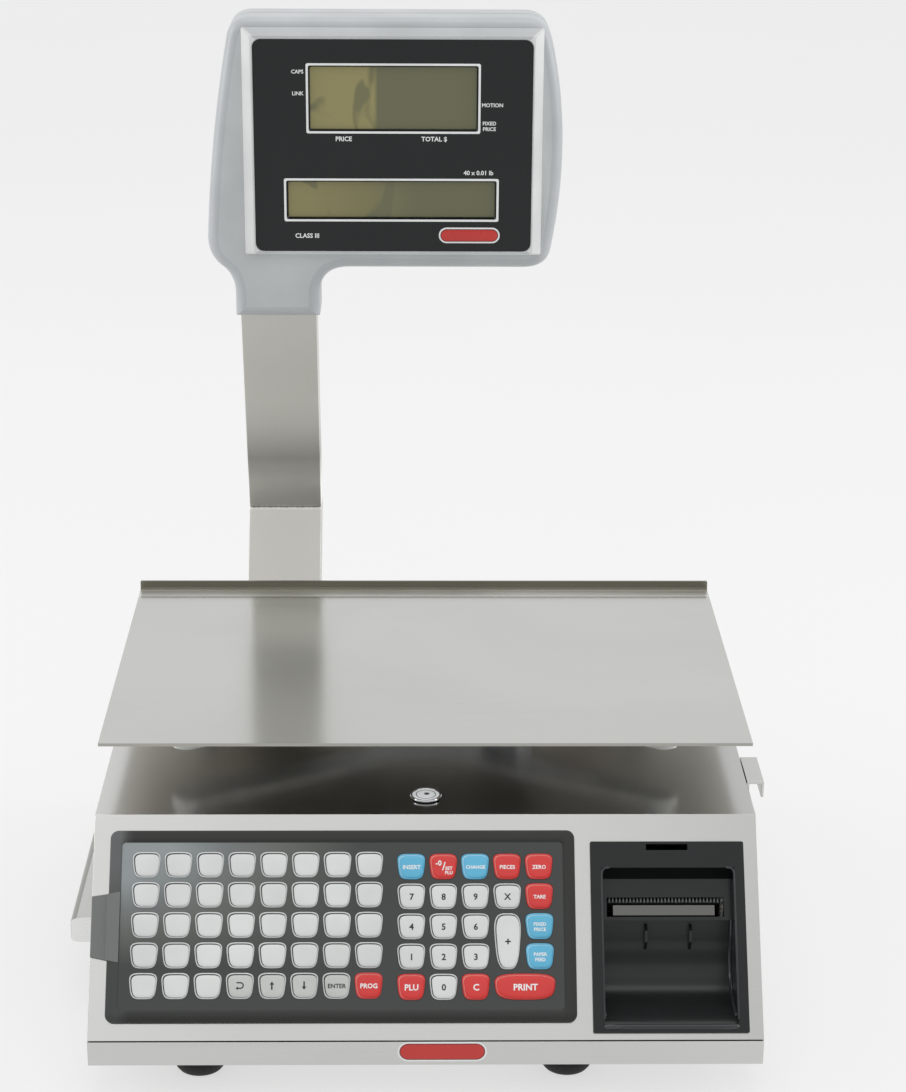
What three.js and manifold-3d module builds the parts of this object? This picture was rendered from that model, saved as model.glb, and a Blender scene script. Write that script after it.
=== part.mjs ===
// Retail price scale: a stainless steel counter scale with a lift-off platter, a sloping panel that carries
// an embossed keypad and a pull-out label printer, and a two-sided display head on a bent pole.
// Millimetres. X is to the operator's right, Y towards the customer, Z up; the feet stand on Z = 0.
// While the parts are built, X = 0 is the middle of the body and Y = 0 the middle of the platter.

import * as THREE from 'three';
import { mergeVertices } from 'three/addons/utils/BufferGeometryUtils.js';
import { ConvexGeometry } from 'three/addons/geometries/ConvexGeometry.js';
import Module from 'manifold-3d';

const wasm = await Module();
wasm.setup();

// ---- driving dimensions ------------------------------------------------------------------------

const GAP = 0.3; // clearance between pieces that lie against each other
const SHEET = 1.2; // steel sheet of the body
const CORNER_STEPS = 2; // straight steps in a rounded corner

const BODY = { half: 189, front: -213, back: 163, bottom: 20, lipTop: 35, deck: 138, deckFront: -137 };
const PLATTER = { half: 187.5, halfDepth: 122.5, top: 176, sheet: 1.5, skirt: 1.9, upstand: 5.8 };
const POST = { x: 141, y: 77, radius: 6, padRadius: 9 };
const HUB = { x: 50, radius: 14, hole: 18, top: 161, armWidth: 18, armHeight: 6 };
const CELL = { half: 65, halfDepth: 15, bottom: 85.4, top: 107.4 };
const WEIGH_GAP = 0.9; // room under the hub for its travel on the load cell
const VIAL = { y: -114, radius: 8.5, stem: 6, top: 141.2 };
const FOOT = { radius: 15, padTop: 18.5, stud: 4, studTop: 31, frontY: -181, backY: 130 };

const KEYPAD = { left: -179.3, right: 84.5, low: 10, high: 118.2, proud: 3, border: 6.8 };
const FILM = { bottom: 1.9, top: 2.4 };
const CIRCUIT = { bottom: 0.3, top: 0.8 };
const CARD = { bottom: 1.2, top: 1.5, right: -19, tabLeft: -188.8 };
const KEY = { width: 15.6, height: 14.3, top: 3.7, flange: 0.8, flangeBottom: 1.4, holeGap: 0.3 };
const PLU_KEYS = { x: -158.5, v: 98.7, pitchX: 18.03, pitchV: 17.05, columns: 8, rows: 5 };
const FUNCTION_KEYS = { x: -8.4, v: 97.5, pitchX: 18.1, pitchV: 16.93 };

const PRINTER = { left: 93.4, right: 181, low: 4.1, high: 112, proud: 1.5 };
const PRINTER_HOLE = { left: 96.8, right: 178, low: 6.8, high: 110.9 };
const SCOOP = { left: 99.8, right: 175.3, low: 9, high: 97, wall: 1.5, depth: 8, floor: 43.6, back: -160, ledge: 68.4,
  overhang: 5 };
const PAPER_EXIT = { left: 103, right: 170, low: 70.4, high: 81.4 };
const CHASSIS = { left: 99, right: 176, front: -157.5, back: -44, bottom: 42, top: 119, shoulder: 94 };
const ROLL = { y: -78, z: 76, radius: 29, core: 10, left: 104, right: 170 };
const PLATEN = { y: -140, z: 84, radius: 6, left: 104, right: 168.5 };
const GEARS = { module: 1, platenTeeth: 24, motorTeeth: 12, distance: 18.25, left: 169.5, right: 173 };
const HEAD_PIVOT = { y: -116, z: 104 };

const GRIP = { outer: -212, front: -104, back: 82, bottom: 37.5, top: 54, wall: 1.5, round: 8 };
const TAB = { outer: 199.4, front: -94.4, back: -59.6, lip: 10, flange: 26, sheet: 1.5 };

const POLE = { x: -94.2, width: 48.6, depth: 25, wall: 1.5, cable: 8 };
const POLE_FRONT = [[125.2, 138], [183, 212], [134.1, 385]]; // front face seen from the side, foot to top
const POLE_BASE = { front: 112, back: 161, sheet: 2, margin: 12, cheekTop: 160, cableY: 140 };
const HEAD = { middle: 150, halfDepth: 24, wall: 2.5, edge: 7, edgeDepth: 8 };
const FRAME = { left: -113.6, right: 73.1, low: 401.6, high: 544, proud: 5, slope: 5, ledge: 1.7 };
const FACE = { left: -106.4, right: 66.2, low: 404.9, high: 537.2, thick: 2, corner: 5 };
const INLET = { left: 92, right: 154, low: 46, high: 80 };

const PANEL_ANGLE = Math.atan2(BODY.deck - BODY.lipTop, BODY.deckFront - BODY.front);

// ---- materials ---------------------------------------------------------------------------------

function material(color, roughness, metalness) {
  return new THREE.MeshStandardMaterial({ color, roughness, metalness });
}

const steel = material(0xc9cac6, 0.35, 0.9);
const platterSteel = material(0xbfbfba, 0.3, 0.9);
const plainSteel = material(0x9a9c9c, 0.45, 0.9);
const aluminium = material(0xb4b6b8, 0.4, 0.9);
const zincSteel = material(0xa6a8a4, 0.5, 0.8);
const greyPlastic = material(0xafb6bb, 0.45, 0);
const blackPlastic = material(0x1c1e1f, 0.4, 0);
const keypadGrey = material(0x55585a, 0.35, 0);
const cardGrey = material(0x747675, 0.6, 0);
const circuitGreen = material(0x1f5a3a, 0.5, 0);
const keyWhite = material(0xe6e7e6, 0.3, 0);
const keyRed = material(0xd8302f, 0.3, 0);
const keyBlue = material(0x3d9fd6, 0.3, 0);
const faceBlack = material(0x0b0c0d, 0.2, 0);
const displayGlass = material(0x6c6d4f, 0.2, 0);
const rubber = material(0x141414, 0.8, 0);
const paper = material(0xf2f1ea, 0.8, 0);
const clearVial = material(0xe4ebe6, 0.15, 0);

// ---- solids ------------------------------------------------------------------------------------

function solid(geometry) {
  const bare = geometry.clone();
  bare.deleteAttribute('normal');
  bare.deleteAttribute('uv');
  const merged = mergeVertices(bare);
  const vertProperties = new Float32Array(merged.attributes.position.array);
  const triVerts = new Uint32Array(merged.index.array);
  return new wasm.Manifold(new wasm.Mesh({ numProp: 3, vertProperties, triVerts }));
}

function geometryOf(body) {
  const mesh = body.getMesh();
  const geometry = new THREE.BufferGeometry();
  geometry.setAttribute('position', new THREE.BufferAttribute(mesh.vertProperties, 3));
  geometry.setIndex(new THREE.BufferAttribute(mesh.triVerts, 1));
  geometry.computeVertexNormals();
  return geometry;
}

function part(name, body, look) {
  const mesh = new THREE.Mesh(geometryOf(body), look);
  mesh.name = name;
  return mesh;
}

function box(x0, x1, y0, y1, z0, z1) {
  const geometry = new THREE.BoxGeometry(x1 - x0, y1 - y0, z1 - z0);
  return solid(geometry.translate((x0 + x1) / 2, (y0 + y1) / 2, (z0 + z1) / 2));
}

// A straight round bar between two points.
function rod(from, to, radius, sides = 24) {
  const start = new THREE.Vector3(...from);
  const along = new THREE.Vector3(...to).sub(start);
  const geometry = new THREE.CylinderGeometry(radius, radius, along.length(), sides);
  const turn = new THREE.Quaternion().setFromUnitVectors(new THREE.Vector3(0, 1, 0), along.clone().normalize());
  geometry.applyQuaternion(turn);
  return solid(geometry.translate(...start.addScaledVector(along, 0.5).toArray()));
}

function shapeOf(points) {
  return new THREE.Shape(points.map(([a, b]) => new THREE.Vector2(a, b)));
}

// A polygon whose corners are rounded by curves that start `radius` before each corner.
function roundedShape(points, radius) {
  const corners = points.map(([a, b]) => new THREE.Vector2(a, b));
  const shape = new THREE.Shape();
  corners.forEach((corner, i) => {
    const before = corners[(i + corners.length - 1) % corners.length];
    const after = corners[(i + 1) % corners.length];
    const start = corner.clone().add(before.clone().sub(corner).setLength(radius));
    const end = corner.clone().add(after.clone().sub(corner).setLength(radius));
    if (i === 0) shape.moveTo(start.x, start.y);
    else shape.lineTo(start.x, start.y);
    shape.quadraticCurveTo(corner.x, corner.y, end.x, end.y);
  });
  shape.closePath();
  return shape;
}

function rectangle(left, right, low, high) {
  return [[left, low], [right, low], [right, high], [left, high]];
}

function extrude(shape, depth, steps = CORNER_STEPS) {
  return new THREE.ExtrudeGeometry(shape, { depth, bevelEnabled: false, curveSegments: steps });
}

// An outline in X and Y, standing from z0 to z1.
function slab(shape, z0, z1, steps) {
  return solid(extrude(shape, z1 - z0, steps).translate(0, 0, z0));
}

// An outline in Y and Z, running from x0 to x1.
function barX(shape, x0, x1, steps) {
  const axes = new THREE.Matrix4().makeBasis(
    new THREE.Vector3(0, 1, 0),
    new THREE.Vector3(0, 0, 1),
    new THREE.Vector3(1, 0, 0),
  );
  return solid(extrude(shape, x1 - x0, steps).applyMatrix4(axes).translate(x0, 0, 0));
}

// An outline in X and Z, running from y0 to y1.
function barY(shape, y0, y1, steps) {
  const axes = new THREE.Matrix4().makeBasis(
    new THREE.Vector3(1, 0, 0),
    new THREE.Vector3(0, 0, 1),
    new THREE.Vector3(0, -1, 0),
  );
  return solid(extrude(shape, y1 - y0, steps).applyMatrix4(axes).translate(0, y1, 0));
}

function turned(profile, sides = 32) {
  const points = profile.map(([radius, height]) => new THREE.Vector2(radius, height));
  return solid(new THREE.LatheGeometry(points, sides).rotateX(Math.PI / 2));
}

// ---- the sloping panel -------------------------------------------------------------------------

// The panel's own frame: X across, Y up the slope from the lip, Z out of the face.
function panelGroup() {
  const group = new THREE.Group();
  group.position.set(0, BODY.front, BODY.lipTop);
  group.rotation.x = PANEL_ANGLE;
  group.updateMatrix();
  return group;
}

const panel = panelGroup();

// Moves a solid from the panel's frame to the body's.
function offPanel(body) {
  return solid(geometryOf(body).applyMatrix4(panel.matrix));
}

// Y and Z of a point `v` up the slope and `lift` out of the face.
function panelPoint(v, lift) {
  const cos = Math.cos(PANEL_ANGLE);
  const sin = Math.sin(PANEL_ANGLE);
  return [BODY.front + v * cos - lift * sin, BODY.lipTop + v * sin + lift * cos];
}

// ---- body --------------------------------------------------------------------------------------

const FOOT_PLACES = [
  ['foot_front_left', -129, FOOT.frontY],
  ['foot_front_right', 80.5, FOOT.frontY],
  ['foot_rear_left', -129, FOOT.backY],
  ['foot_rear_right', 129, FOOT.backY],
];

// The side view of the cover, drawn `inset` inside its outer face and open below `low`.
function coverSection(inset, low) {
  const slope = (BODY.deckFront - BODY.front) / (BODY.deck - BODY.lipTop);
  const shift = inset / Math.sin(PANEL_ANGLE);
  const faceY = (z) => BODY.front + (z - BODY.lipTop) * slope + shift;
  const top = BODY.deck - inset;
  const back = BODY.back - inset;
  return shapeOf([[faceY(low), low], [back, low], [back, top], [faceY(top), top]]);
}

function topCover() {
  const low = BODY.lipTop + GAP;
  const inside = BODY.half - SHEET;
  const through = 6;
  let cover = barX(coverSection(0, low), -BODY.half, BODY.half)
    .subtract(barX(coverSection(SHEET, low - 1), -inside, inside));
  const hole = PRINTER_HOLE;
  cover = cover
    .subtract(offPanel(box(hole.left, hole.right, hole.low, hole.high, -through, through)))
    .subtract(offPanel(box(-60, -30, 60, 64, -through, through)))
    .subtract(rod([HUB.x, 0, BODY.deck - through], [HUB.x, 0, BODY.deck + through], HUB.hole))
    .subtract(rod([0, VIAL.y, BODY.deck - through], [0, VIAL.y, BODY.deck + through], VIAL.stem + GAP))
    .subtract(rod([POLE.x, POLE_BASE.cableY, BODY.deck - through], [POLE.x, POLE_BASE.cableY, BODY.deck + through],
      POLE.cable))
    .subtract(box(INLET.left + 4, INLET.right - 4, BODY.back - through, BODY.back + through, 50, 76));
  for (let i = 0; i < 6; i += 1) {
    const x = -20 + i * 14;
    cover = cover.subtract(box(x, x + 4, BODY.back - through, BODY.back + through, 70, 110));
  }
  return part('top_cover', cover, steel);
}

// Rails that carry the printer drawer, standing on the tray.
function drawerRail(wallX, ledgeX) {
  const [front, back, ledgeTop] = [-156, -40, CHASSIS.bottom - GAP];
  const wall = box(wallX, wallX + 1.4, front, back, BODY.bottom + 0.6, 60);
  const ledge = box(Math.min(wallX, ledgeX), Math.max(wallX + 1.4, ledgeX), front, back, ledgeTop - 1.2, ledgeTop);
  return wall.add(ledge);
}

function baseTray() {
  const floor = BODY.bottom + SHEET;
  const inside = BODY.half - SHEET;
  const wallTop = BODY.lipTop - GAP;
  let tray = box(-BODY.half, BODY.half, BODY.front, BODY.back, BODY.bottom, wallTop)
    .subtract(box(-inside, inside, BODY.front + SHEET, BODY.back - SHEET, floor, wallTop + 1));
  const tabOuter = inside - GAP;
  for (const side of [-1, 1]) {
    for (const y of [-130, 90]) {
      const xs = [side * tabOuter, side * (tabOuter - SHEET)].sort((a, b) => a - b);
      tray = tray.add(box(xs[0], xs[1], y, y + 30, BODY.bottom + 0.6, 54));
    }
  }
  tray = tray
    .add(box(-CELL.half, -CELL.half + 30, -CELL.halfDepth, CELL.halfDepth, BODY.bottom + 0.6, CELL.bottom - GAP))
    .add(drawerRail(CHASSIS.left - 1.8, CHASSIS.left + 8))
    .add(drawerRail(CHASSIS.right + 0.4, CHASSIS.right - 8));
  for (const [, x, y] of FOOT_PLACES) {
    tray = tray
      .add(rod([x, y, BODY.bottom + 0.6], [x, y, BODY.bottom + 6], 9))
      .subtract(rod([x, y, BODY.bottom - 1], [x, y, BODY.bottom + 8], FOOT.stud + GAP));
  }
  return part('base_tray', tray, steel);
}

function foot(name, x, y) {
  const r = FOOT.radius;
  const profile = [[0, 0], [r - 4.5, 0], [r - 1.4, 1.6], [r, 5], [r, FOOT.padTop], [FOOT.stud, FOOT.padTop],
    [FOOT.stud, FOOT.studTop], [0, FOOT.studTop]];
  const mesh = part(name, turned(profile), rubber);
  mesh.position.set(x, y, 0);
  return mesh;
}

function levelVial() {
  const [deck, r] = [BODY.deck + GAP, VIAL.radius];
  const profile = [[0, deck - 9], [VIAL.stem, deck - 9], [VIAL.stem, deck], [r, deck], [r, VIAL.top - 0.8],
    [r - 0.8, VIAL.top], [0, VIAL.top]];
  const mesh = part('level_vial', turned(profile), clearVial);
  mesh.position.set(0, VIAL.y, 0);
  return mesh;
}

function loadCell() {
  const middle = (CELL.bottom + CELL.top) / 2;
  const depth = CELL.halfDepth + 1;
  const cell = box(-CELL.half, CELL.half, -CELL.halfDepth, CELL.halfDepth, CELL.bottom, CELL.top)
    .subtract(rod([-13, -depth, middle], [-13, depth, middle], 8))
    .subtract(rod([13, -depth, middle], [13, depth, middle], 8))
    .subtract(box(-13, 13, -depth, depth, middle - 3, middle + 3));
  return part('load_cell', cell, aluminium);
}

function spider() {
  const underside = HUB.top - HUB.armHeight;
  const seat = CELL.top + WEIGH_GAP;
  let frame = box(-34, HUB.x + 16, -22, 22, underside, HUB.top)
    .add(rod([HUB.x, 0, seat], [HUB.x, 0, HUB.top - 1], HUB.radius))
    .add(box(CELL.half - 30, CELL.half, -CELL.halfDepth, CELL.halfDepth, seat, seat + 4));
  for (const [sx, sy] of [[-1, -1], [1, -1], [1, 1], [-1, 1]]) {
    const end = new THREE.Vector2(sx * POST.x, sy * POST.y);
    const side = new THREE.Vector2(-end.y, end.x).setLength(HUB.armWidth / 2);
    const start = end.clone().multiplyScalar(0.05);
    const arm = [start.clone().add(side), start.clone().sub(side), end.clone().sub(side), end.clone().add(side)];
    frame = frame
      .add(slab(shapeOf(arm.map((p) => [p.x, p.y])), underside, HUB.top))
      .add(rod([end.x, end.y, underside], [end.x, end.y, HUB.top], HUB.armWidth / 2))
      .add(rod([end.x, end.y, HUB.top - 1], [end.x, end.y, 171], POST.radius))
      .add(rod([end.x, end.y, 170], [end.x, end.y, PLATTER.top - PLATTER.sheet - GAP], POST.padRadius));
  }
  return part('spider', frame, aluminium);
}

function platter() {
  const { half, halfDepth, top, sheet, skirt, upstand } = PLATTER;
  const under = top - skirt;
  const plate = box(-half, half, -halfDepth, halfDepth, under, top)
    .subtract(box(-half + sheet, half - sheet, -halfDepth + sheet, halfDepth - sheet, under - 1, top - sheet));
  const rim = roundedShape([[-half, top - 1], [half, top - 1], [half, top + upstand], [-half, top + upstand]], 0.9);
  return part('platter', plate.add(barY(rim, halfDepth - sheet, halfDepth)), platterSteel);
}

// The grip drawn `inset` inside its outer faces and ending at the level `low`.
function gripBody(inset, low) {
  const { outer, front, back, top, round } = GRIP;
  const inner = -BODY.half - GAP - inset;
  const plan = roundedShape(rectangle(outer + inset, inner, front + inset, back - inset), 6 - inset);
  const section = roundedShape(rectangle(outer + inset, 0, 0, top - inset), round - inset);
  return slab(plan, low, top, 3).intersect(barY(section, front, back, 4));
}

function sideGrip() {
  const { bottom, wall } = GRIP;
  return part('side_grip', gripBody(0, bottom).subtract(gripBody(wall, bottom - 1)), steel);
}

function sideTab() {
  const inner = BODY.half + GAP;
  const [top, t] = [BODY.deck, TAB.sheet];
  const bracket = box(inner, TAB.outer, TAB.front, TAB.back, top - t, top)
    .add(box(TAB.outer - t, TAB.outer, TAB.front, TAB.back, top - TAB.lip, top))
    .add(box(inner, inner + t, TAB.front, TAB.back, top - TAB.flange, top));
  return part('side_tab', bracket, steel);
}

function mainBoard() {
  const [low, high] = [32, 33.6];
  let board = box(-172, -80, -150, -20, low, high);
  for (const [x, y] of [[-168, -146], [-84, -146], [-168, -24], [-84, -24]]) {
    board = board.add(rod([x, y, BODY.bottom + SHEET + GAP], [x, y, low + 0.5], 3, 12));
  }
  const chips = [[-150, -120, 24, 24, 3], [-110, -90, 14, 30, 4], [-160, -60, 12, 20, 12], [-130, -40, 40, 8, 9]];
  for (const [x, y, width, depth, height] of chips) {
    board = board.add(box(x, x + width, y, y + depth, high - 0.5, high + height));
  }
  return part('main_board', board, circuitGreen);
}

function powerSupply() {
  const low = BODY.bottom + SHEET + GAP;
  const supply = box(-172, -90, 20, 112, low, 62)
    .add(box(-168, -94, 12, 21, low + 4, low + 18));
  return part('power_supply', supply, plainSteel);
}

// Mains inlet and switch housing in one moulding, with its flange outside the rear wall.
function powerInlet() {
  const flange = BODY.back + GAP;
  const outside = flange + 2;
  let module = box(INLET.left, INLET.right, flange, outside, INLET.low, INLET.high)
    .add(box(INLET.left + 5, INLET.right - 5, 138, flange + 1, 51, 75))
    .subtract(box(99, 126, 146, outside + 1, 53.5, 72.5))
    .subtract(box(131, 146, 148, outside + 1, 53, 73));
  for (const [x, z] of [[105.5, 60], [112.5, 66], [119.5, 60]]) {
    module = module.add(box(x - 1, x + 1, 145, 161, z - 2, z + 2));
  }
  return part('power_inlet', module, blackPlastic);
}

// The rocker rests pressed at its lower end and tips over its pin in the inlet moulding.
const ROCKER = { x0: 131.4, x1: 145.6, y: 157, z: 63, reach: 8.5, tilt: 8 };

function powerSwitchRocker() {
  const { x0, x1, y, z, reach, tilt } = ROCKER;
  const outline = shapeOf([[-4, -4], [4.5, -reach + 0.6], [8.5, -reach], [6.2, 0], [8.5, reach], [4.5, reach - 0.6],
    [-4, 4]]);
  const mesh = part('power_switch_rocker', barX(outline, x0, x1), blackPlastic);
  mesh.position.set(0, y, z);
  mesh.rotation.x = THREE.MathUtils.degToRad(-tilt);
  return mesh;
}

// ---- keypad ------------------------------------------------------------------------------------

// A key seen from the front: a little narrower at its lower edge.
function keyShape(width, height, grow = 0, radius = 3) {
  const [x, y] = [width / 2 + grow, height / 2 + grow];
  const taper = 1;
  return roundedShape([[-x + taper, -y], [x - taper, -y], [x, y], [-x, y]], radius);
}

function functionKeys() {
  const { x, v, pitchX, pitchV } = FUNCTION_KEYS;
  const column = (i) => x + i * pitchX;
  const row = (j) => v - j * pitchV;
  const plain = [
    ['key_insert', 0, 0, keyBlue], ['key_minus', 1, 0, keyRed], ['key_change', 2, 0, keyBlue],
    ['key_pieces', 3, 0, keyRed], ['key_zero', 4, 0, keyRed],
    ['key_7', 0, 1, keyWhite], ['key_8', 1, 1, keyWhite], ['key_9', 2, 1, keyWhite],
    ['key_times', 3, 1, keyWhite], ['key_tare', 4, 1, keyRed],
    ['key_4', 0, 2, keyWhite], ['key_5', 1, 2, keyWhite], ['key_6', 2, 2, keyWhite],
    ['key_fixed_price', 4, 2, keyBlue],
    ['key_1', 0, 3, keyWhite], ['key_2', 1, 3, keyWhite], ['key_3', 2, 3, keyWhite],
    ['key_paper_feed', 4, 3, keyBlue],
    ['key_plu', 0, 4, keyRed], ['key_digit_0', 1, 4, keyWhite], ['key_clear', 2, 4, keyRed],
  ].map(([name, i, j, look]) => ({ name, x: column(i), v: row(j), width: KEY.width, height: KEY.height, look }));
  const tall = KEY.height + pitchV;
  const wide = KEY.width + pitchX;
  return [
    ...plain,
    { name: 'key_plus', x: column(3), v: row(2.5), width: KEY.width, height: tall, look: keyWhite },
    { name: 'key_print', x: column(3.5), v: row(4), width: wide, height: KEY.height, look: keyRed },
  ];
}

const KEYS = functionKeys();

function keyCap({ name, x, v, width, height, look }) {
  const cap = slab(keyShape(width, height), KEY.flangeBottom + 0.1, KEY.top)
    .add(slab(keyShape(width, height, KEY.flange), KEY.flangeBottom, FILM.bottom - 0.2));
  const mesh = part(name, cap, look);
  mesh.position.set(x, v, 0);
  return mesh;
}

// Bezel and film in one sheet. The film is embossed with the item keys and has a hole for each function key.
function keypadOverlay() {
  const { left, right, low, high, proud, border } = KEYPAD;
  const inner = rectangle(left + border, right - border, low + border, high - border);
  const inside = roundedShape(inner, 2);
  let sheet = slab(roundedShape(rectangle(left, right, low, high), 5), CIRCUIT.bottom, proud)
    .subtract(slab(inside, FILM.top, proud + 1))
    .subtract(slab(inside, CIRCUIT.bottom - 1, FILM.bottom))
    .subtract(box(left - 1, left + border + 1, low + border + 1, high - border - 1, CIRCUIT.bottom - 1, FILM.bottom));
  for (const key of KEYS) {
    const hole = slab(keyShape(key.width, key.height, KEY.holeGap), FILM.bottom - 1, FILM.top + 1);
    sheet = sheet.subtract(hole.translate([key.x, key.v, 0]));
  }
  for (let i = 0; i < PLU_KEYS.columns; i += 1) {
    for (let j = 0; j < PLU_KEYS.rows; j += 1) {
      const dome = slab(keyShape(KEY.width, KEY.height), FILM.bottom + 0.1, KEY.top);
      sheet = sheet.add(dome.translate([PLU_KEYS.x + i * PLU_KEYS.pitchX, PLU_KEYS.v - j * PLU_KEYS.pitchV, 0]));
    }
  }
  return part('keypad_overlay', sheet, keypadGrey);
}

function keypadCircuit() {
  const { left, right, low, high, border } = KEYPAD;
  const clear = border + 0.5;
  const circuit = box(left + clear, right - clear, low + clear, high - clear, CIRCUIT.bottom, CIRCUIT.top);
  return part('keypad_circuit', circuit, circuitGreen);
}

// The list of items slides in behind the film from the left; its pull-tab shows beside the bezel.
function labelCard() {
  const { left, low, high, border } = KEYPAD;
  const clear = border + 1.6;
  const card = box(left + 2, CARD.right, low + clear, high - clear, CARD.bottom, CARD.top)
    .add(slab(shapeOf([[left + 3, 44.4], [left + 3, 82.9], [CARD.tabLeft, 80.9], [CARD.tabLeft, 46.9]]),
      CARD.bottom, CARD.top));
  return part('label_card', card, cardGrey);
}

// ---- label printer drawer ----------------------------------------------------------------------

// The hollow of the scoop seen from the side, grown by `wall` on its inner side.
function scoopSection(wall) {
  const { low, high, depth, floor, back, ledge, overhang } = SCOOP;
  const bend = 26 + wall;
  const [centreY, centreZ] = [back - 26, floor + 26];
  const lip = panelPoint(low - wall, 0);
  const shape = new THREE.Shape();
  shape.moveTo(...panelPoint(low - wall, 12));
  shape.lineTo(...lip);
  shape.lineTo(lip[0] + 4, floor - wall);
  shape.lineTo(centreY, floor - wall);
  shape.absarc(centreY, centreZ, bend, -Math.PI / 2, 0, false);
  if (wall > 0) {
    const rise = (back + wall - BODY.front - (depth + wall) * Math.sin(PANEL_ANGLE)) / Math.cos(PANEL_ANGLE);
    shape.lineTo(...panelPoint(rise, -depth - wall));
  } else {
    const shelf = panelPoint(ledge, -depth);
    shape.lineTo(back, shelf[1]);
    shape.lineTo(...shelf);
  }
  shape.lineTo(...panelPoint(high - overhang + wall, -depth - wall));
  shape.lineTo(...panelPoint(high + wall, 0));
  shape.lineTo(...panelPoint(high + wall, 12));
  return shape;
}

function drawerFascia() {
  const { left, right, low, high, proud } = PRINTER;
  const wall = SCOOP.wall;
  const front = offPanel(slab(roundedShape(rectangle(left, right, low, high), 1), GAP, GAP + proud));
  const inFront = offPanel(box(left, right, low, high, -60, GAP + 0.5));
  const tub = barX(scoopSection(wall), SCOOP.left - wall, SCOOP.right + wall, 8).intersect(inFront);
  let fascia = front.add(tub)
    .subtract(barX(scoopSection(0), SCOOP.left, SCOOP.right, 8))
    .subtract(offPanel(box(125.3, 149, 107, 110.5, -1, GAP + proud + 1)))
    .subtract(offPanel(box(PAPER_EXIT.left, PAPER_EXIT.right, PAPER_EXIT.low, PAPER_EXIT.high, -40, 0)));
  for (const x of [125, 150.4]) {
    const rib = shapeOf([[SCOOP.back + 1, 80], [SCOOP.back - 5, 78], [SCOOP.back - 5.5, 71], [SCOOP.back + 1, 61]]);
    fascia = fascia.add(barX(rib, x, x + 1.6));
  }
  return part('drawer_fascia', fascia, blackPlastic);
}

function drawerChassis() {
  const { left, right, front, back, bottom, top, shoulder } = CHASSIS;
  const t = SHEET;
  const section = (inset) => shapeOf([
    [front + inset, bottom + inset], [back - inset, bottom + inset], [back - inset, top + inset],
    [-134 + inset, top + inset], [front + inset, shoulder + inset],
  ]);
  const hollow = shapeOf([[front - 1, bottom + t], [back - t, bottom + t], [back - t, top + 5], [front - 1, top + 5]]);
  const tray = barX(section(0), left, right)
    .subtract(barX(hollow, left + t, right - t))
    .add(rod([left + 0.5, ROLL.y, ROLL.z], [ROLL.right + 2, ROLL.y, ROLL.z], ROLL.core - 1));
  return part('drawer_chassis', tray, zincSteel);
}

function tearBar() {
  const [left, right, low, high] = [PAPER_EXIT.left + 0.5, PAPER_EXIT.right - 0.5, 77.9, 80.9];
  const teeth = 33;
  const pitch = (right - left) / teeth;
  const outline = [[left, low], [right, low]];
  for (let i = teeth; i > 0; i -= 1) {
    outline.push([left + i * pitch, high - 1.4], [left + (i - 0.5) * pitch, high]);
  }
  outline.push([left, high - 1.4]);
  return part('tear_bar', slab(shapeOf(outline), -SCOOP.depth - 1.2, -SCOOP.depth), plainSteel);
}

function peelPlate() {
  const plate = box(106.5, 164.7, 71.2, 77.1, -SCOOP.depth - 1.4, -SCOOP.depth - 0.4);
  return part('peel_plate', plate, aluminium);
}

function printHead() {
  const { y, z } = HEAD_PIVOT;
  const under = PLATEN.z + PLATEN.radius + GAP;
  const outline = shapeOf([[y - 29, under], [y - 18, under], [y - 2, z - 4], [y + 4, z - 4], [y + 4, z + 4],
    [y - 4, z + 4], [y - 27, under + 9]]);
  return part('print_head', barX(outline, 106, 167), aluminium);
}

// Straight-sided teeth, thin enough to run freely at the stated centre distance.
function gearShape(teeth, turn) {
  const pitchRadius = (teeth * GEARS.module) / 2;
  const [root, tip] = [pitchRadius - 1.15 * GEARS.module, pitchRadius + 0.9 * GEARS.module];
  const step = (2 * Math.PI) / teeth;
  const outline = [];
  for (let i = 0; i < teeth; i += 1) {
    const middle = turn + i * step;
    for (const [radius, share] of [[root, -0.27], [tip, -0.1], [tip, 0.1], [root, 0.27]]) {
      const angle = middle + share * step;
      outline.push([radius * Math.cos(angle), radius * Math.sin(angle)]);
    }
  }
  return shapeOf(outline);
}

function platenRoller() {
  const roller = rod([PLATEN.left, 0, 0], [PLATEN.right, 0, 0], PLATEN.radius)
    .add(rod([PLATEN.left - 2.5, 0, 0], [GEARS.left - GAP, 0, 0], 2.5, 16));
  const mesh = part('platen_roller', roller, rubber);
  mesh.position.set(0, PLATEN.y, PLATEN.z);
  return mesh;
}

function platenGear() {
  const mesh = part('platen_gear', barX(gearShape(GEARS.platenTeeth, -Math.PI / 2), GEARS.left, GEARS.right), keyWhite);
  mesh.position.set(0, PLATEN.y, PLATEN.z);
  return mesh;
}

function motorPinion() {
  const halfTooth = Math.PI / GEARS.motorTeeth;
  const outline = gearShape(GEARS.motorTeeth, Math.PI / 2 + halfTooth);
  const mesh = part('motor_pinion', barX(outline, GEARS.left, GEARS.right), plainSteel);
  mesh.position.set(0, PLATEN.y, PLATEN.z - GEARS.distance);
  return mesh;
}

function feedMotor() {
  const motor = rod([142, 0, 0], [GEARS.left - 1.5, 0, 0], 10, 32)
    .add(rod([GEARS.left - 2, 0, 0], [GEARS.left - GAP, 0, 0], 3.5, 16));
  const mesh = part('feed_motor', motor, plainSteel);
  mesh.position.set(0, PLATEN.y, PLATEN.z - GEARS.distance);
  return mesh;
}

function labelRoll() {
  const { left, right, radius, core } = ROLL;
  const roll = rod([left, 0, 0], [right, 0, 0], radius, 48).subtract(rod([left - 1, 0, 0], [right + 1, 0, 0], core));
  const mesh = part('label_roll', roll, paper);
  mesh.position.set(0, ROLL.y, ROLL.z);
  return mesh;
}

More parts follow.
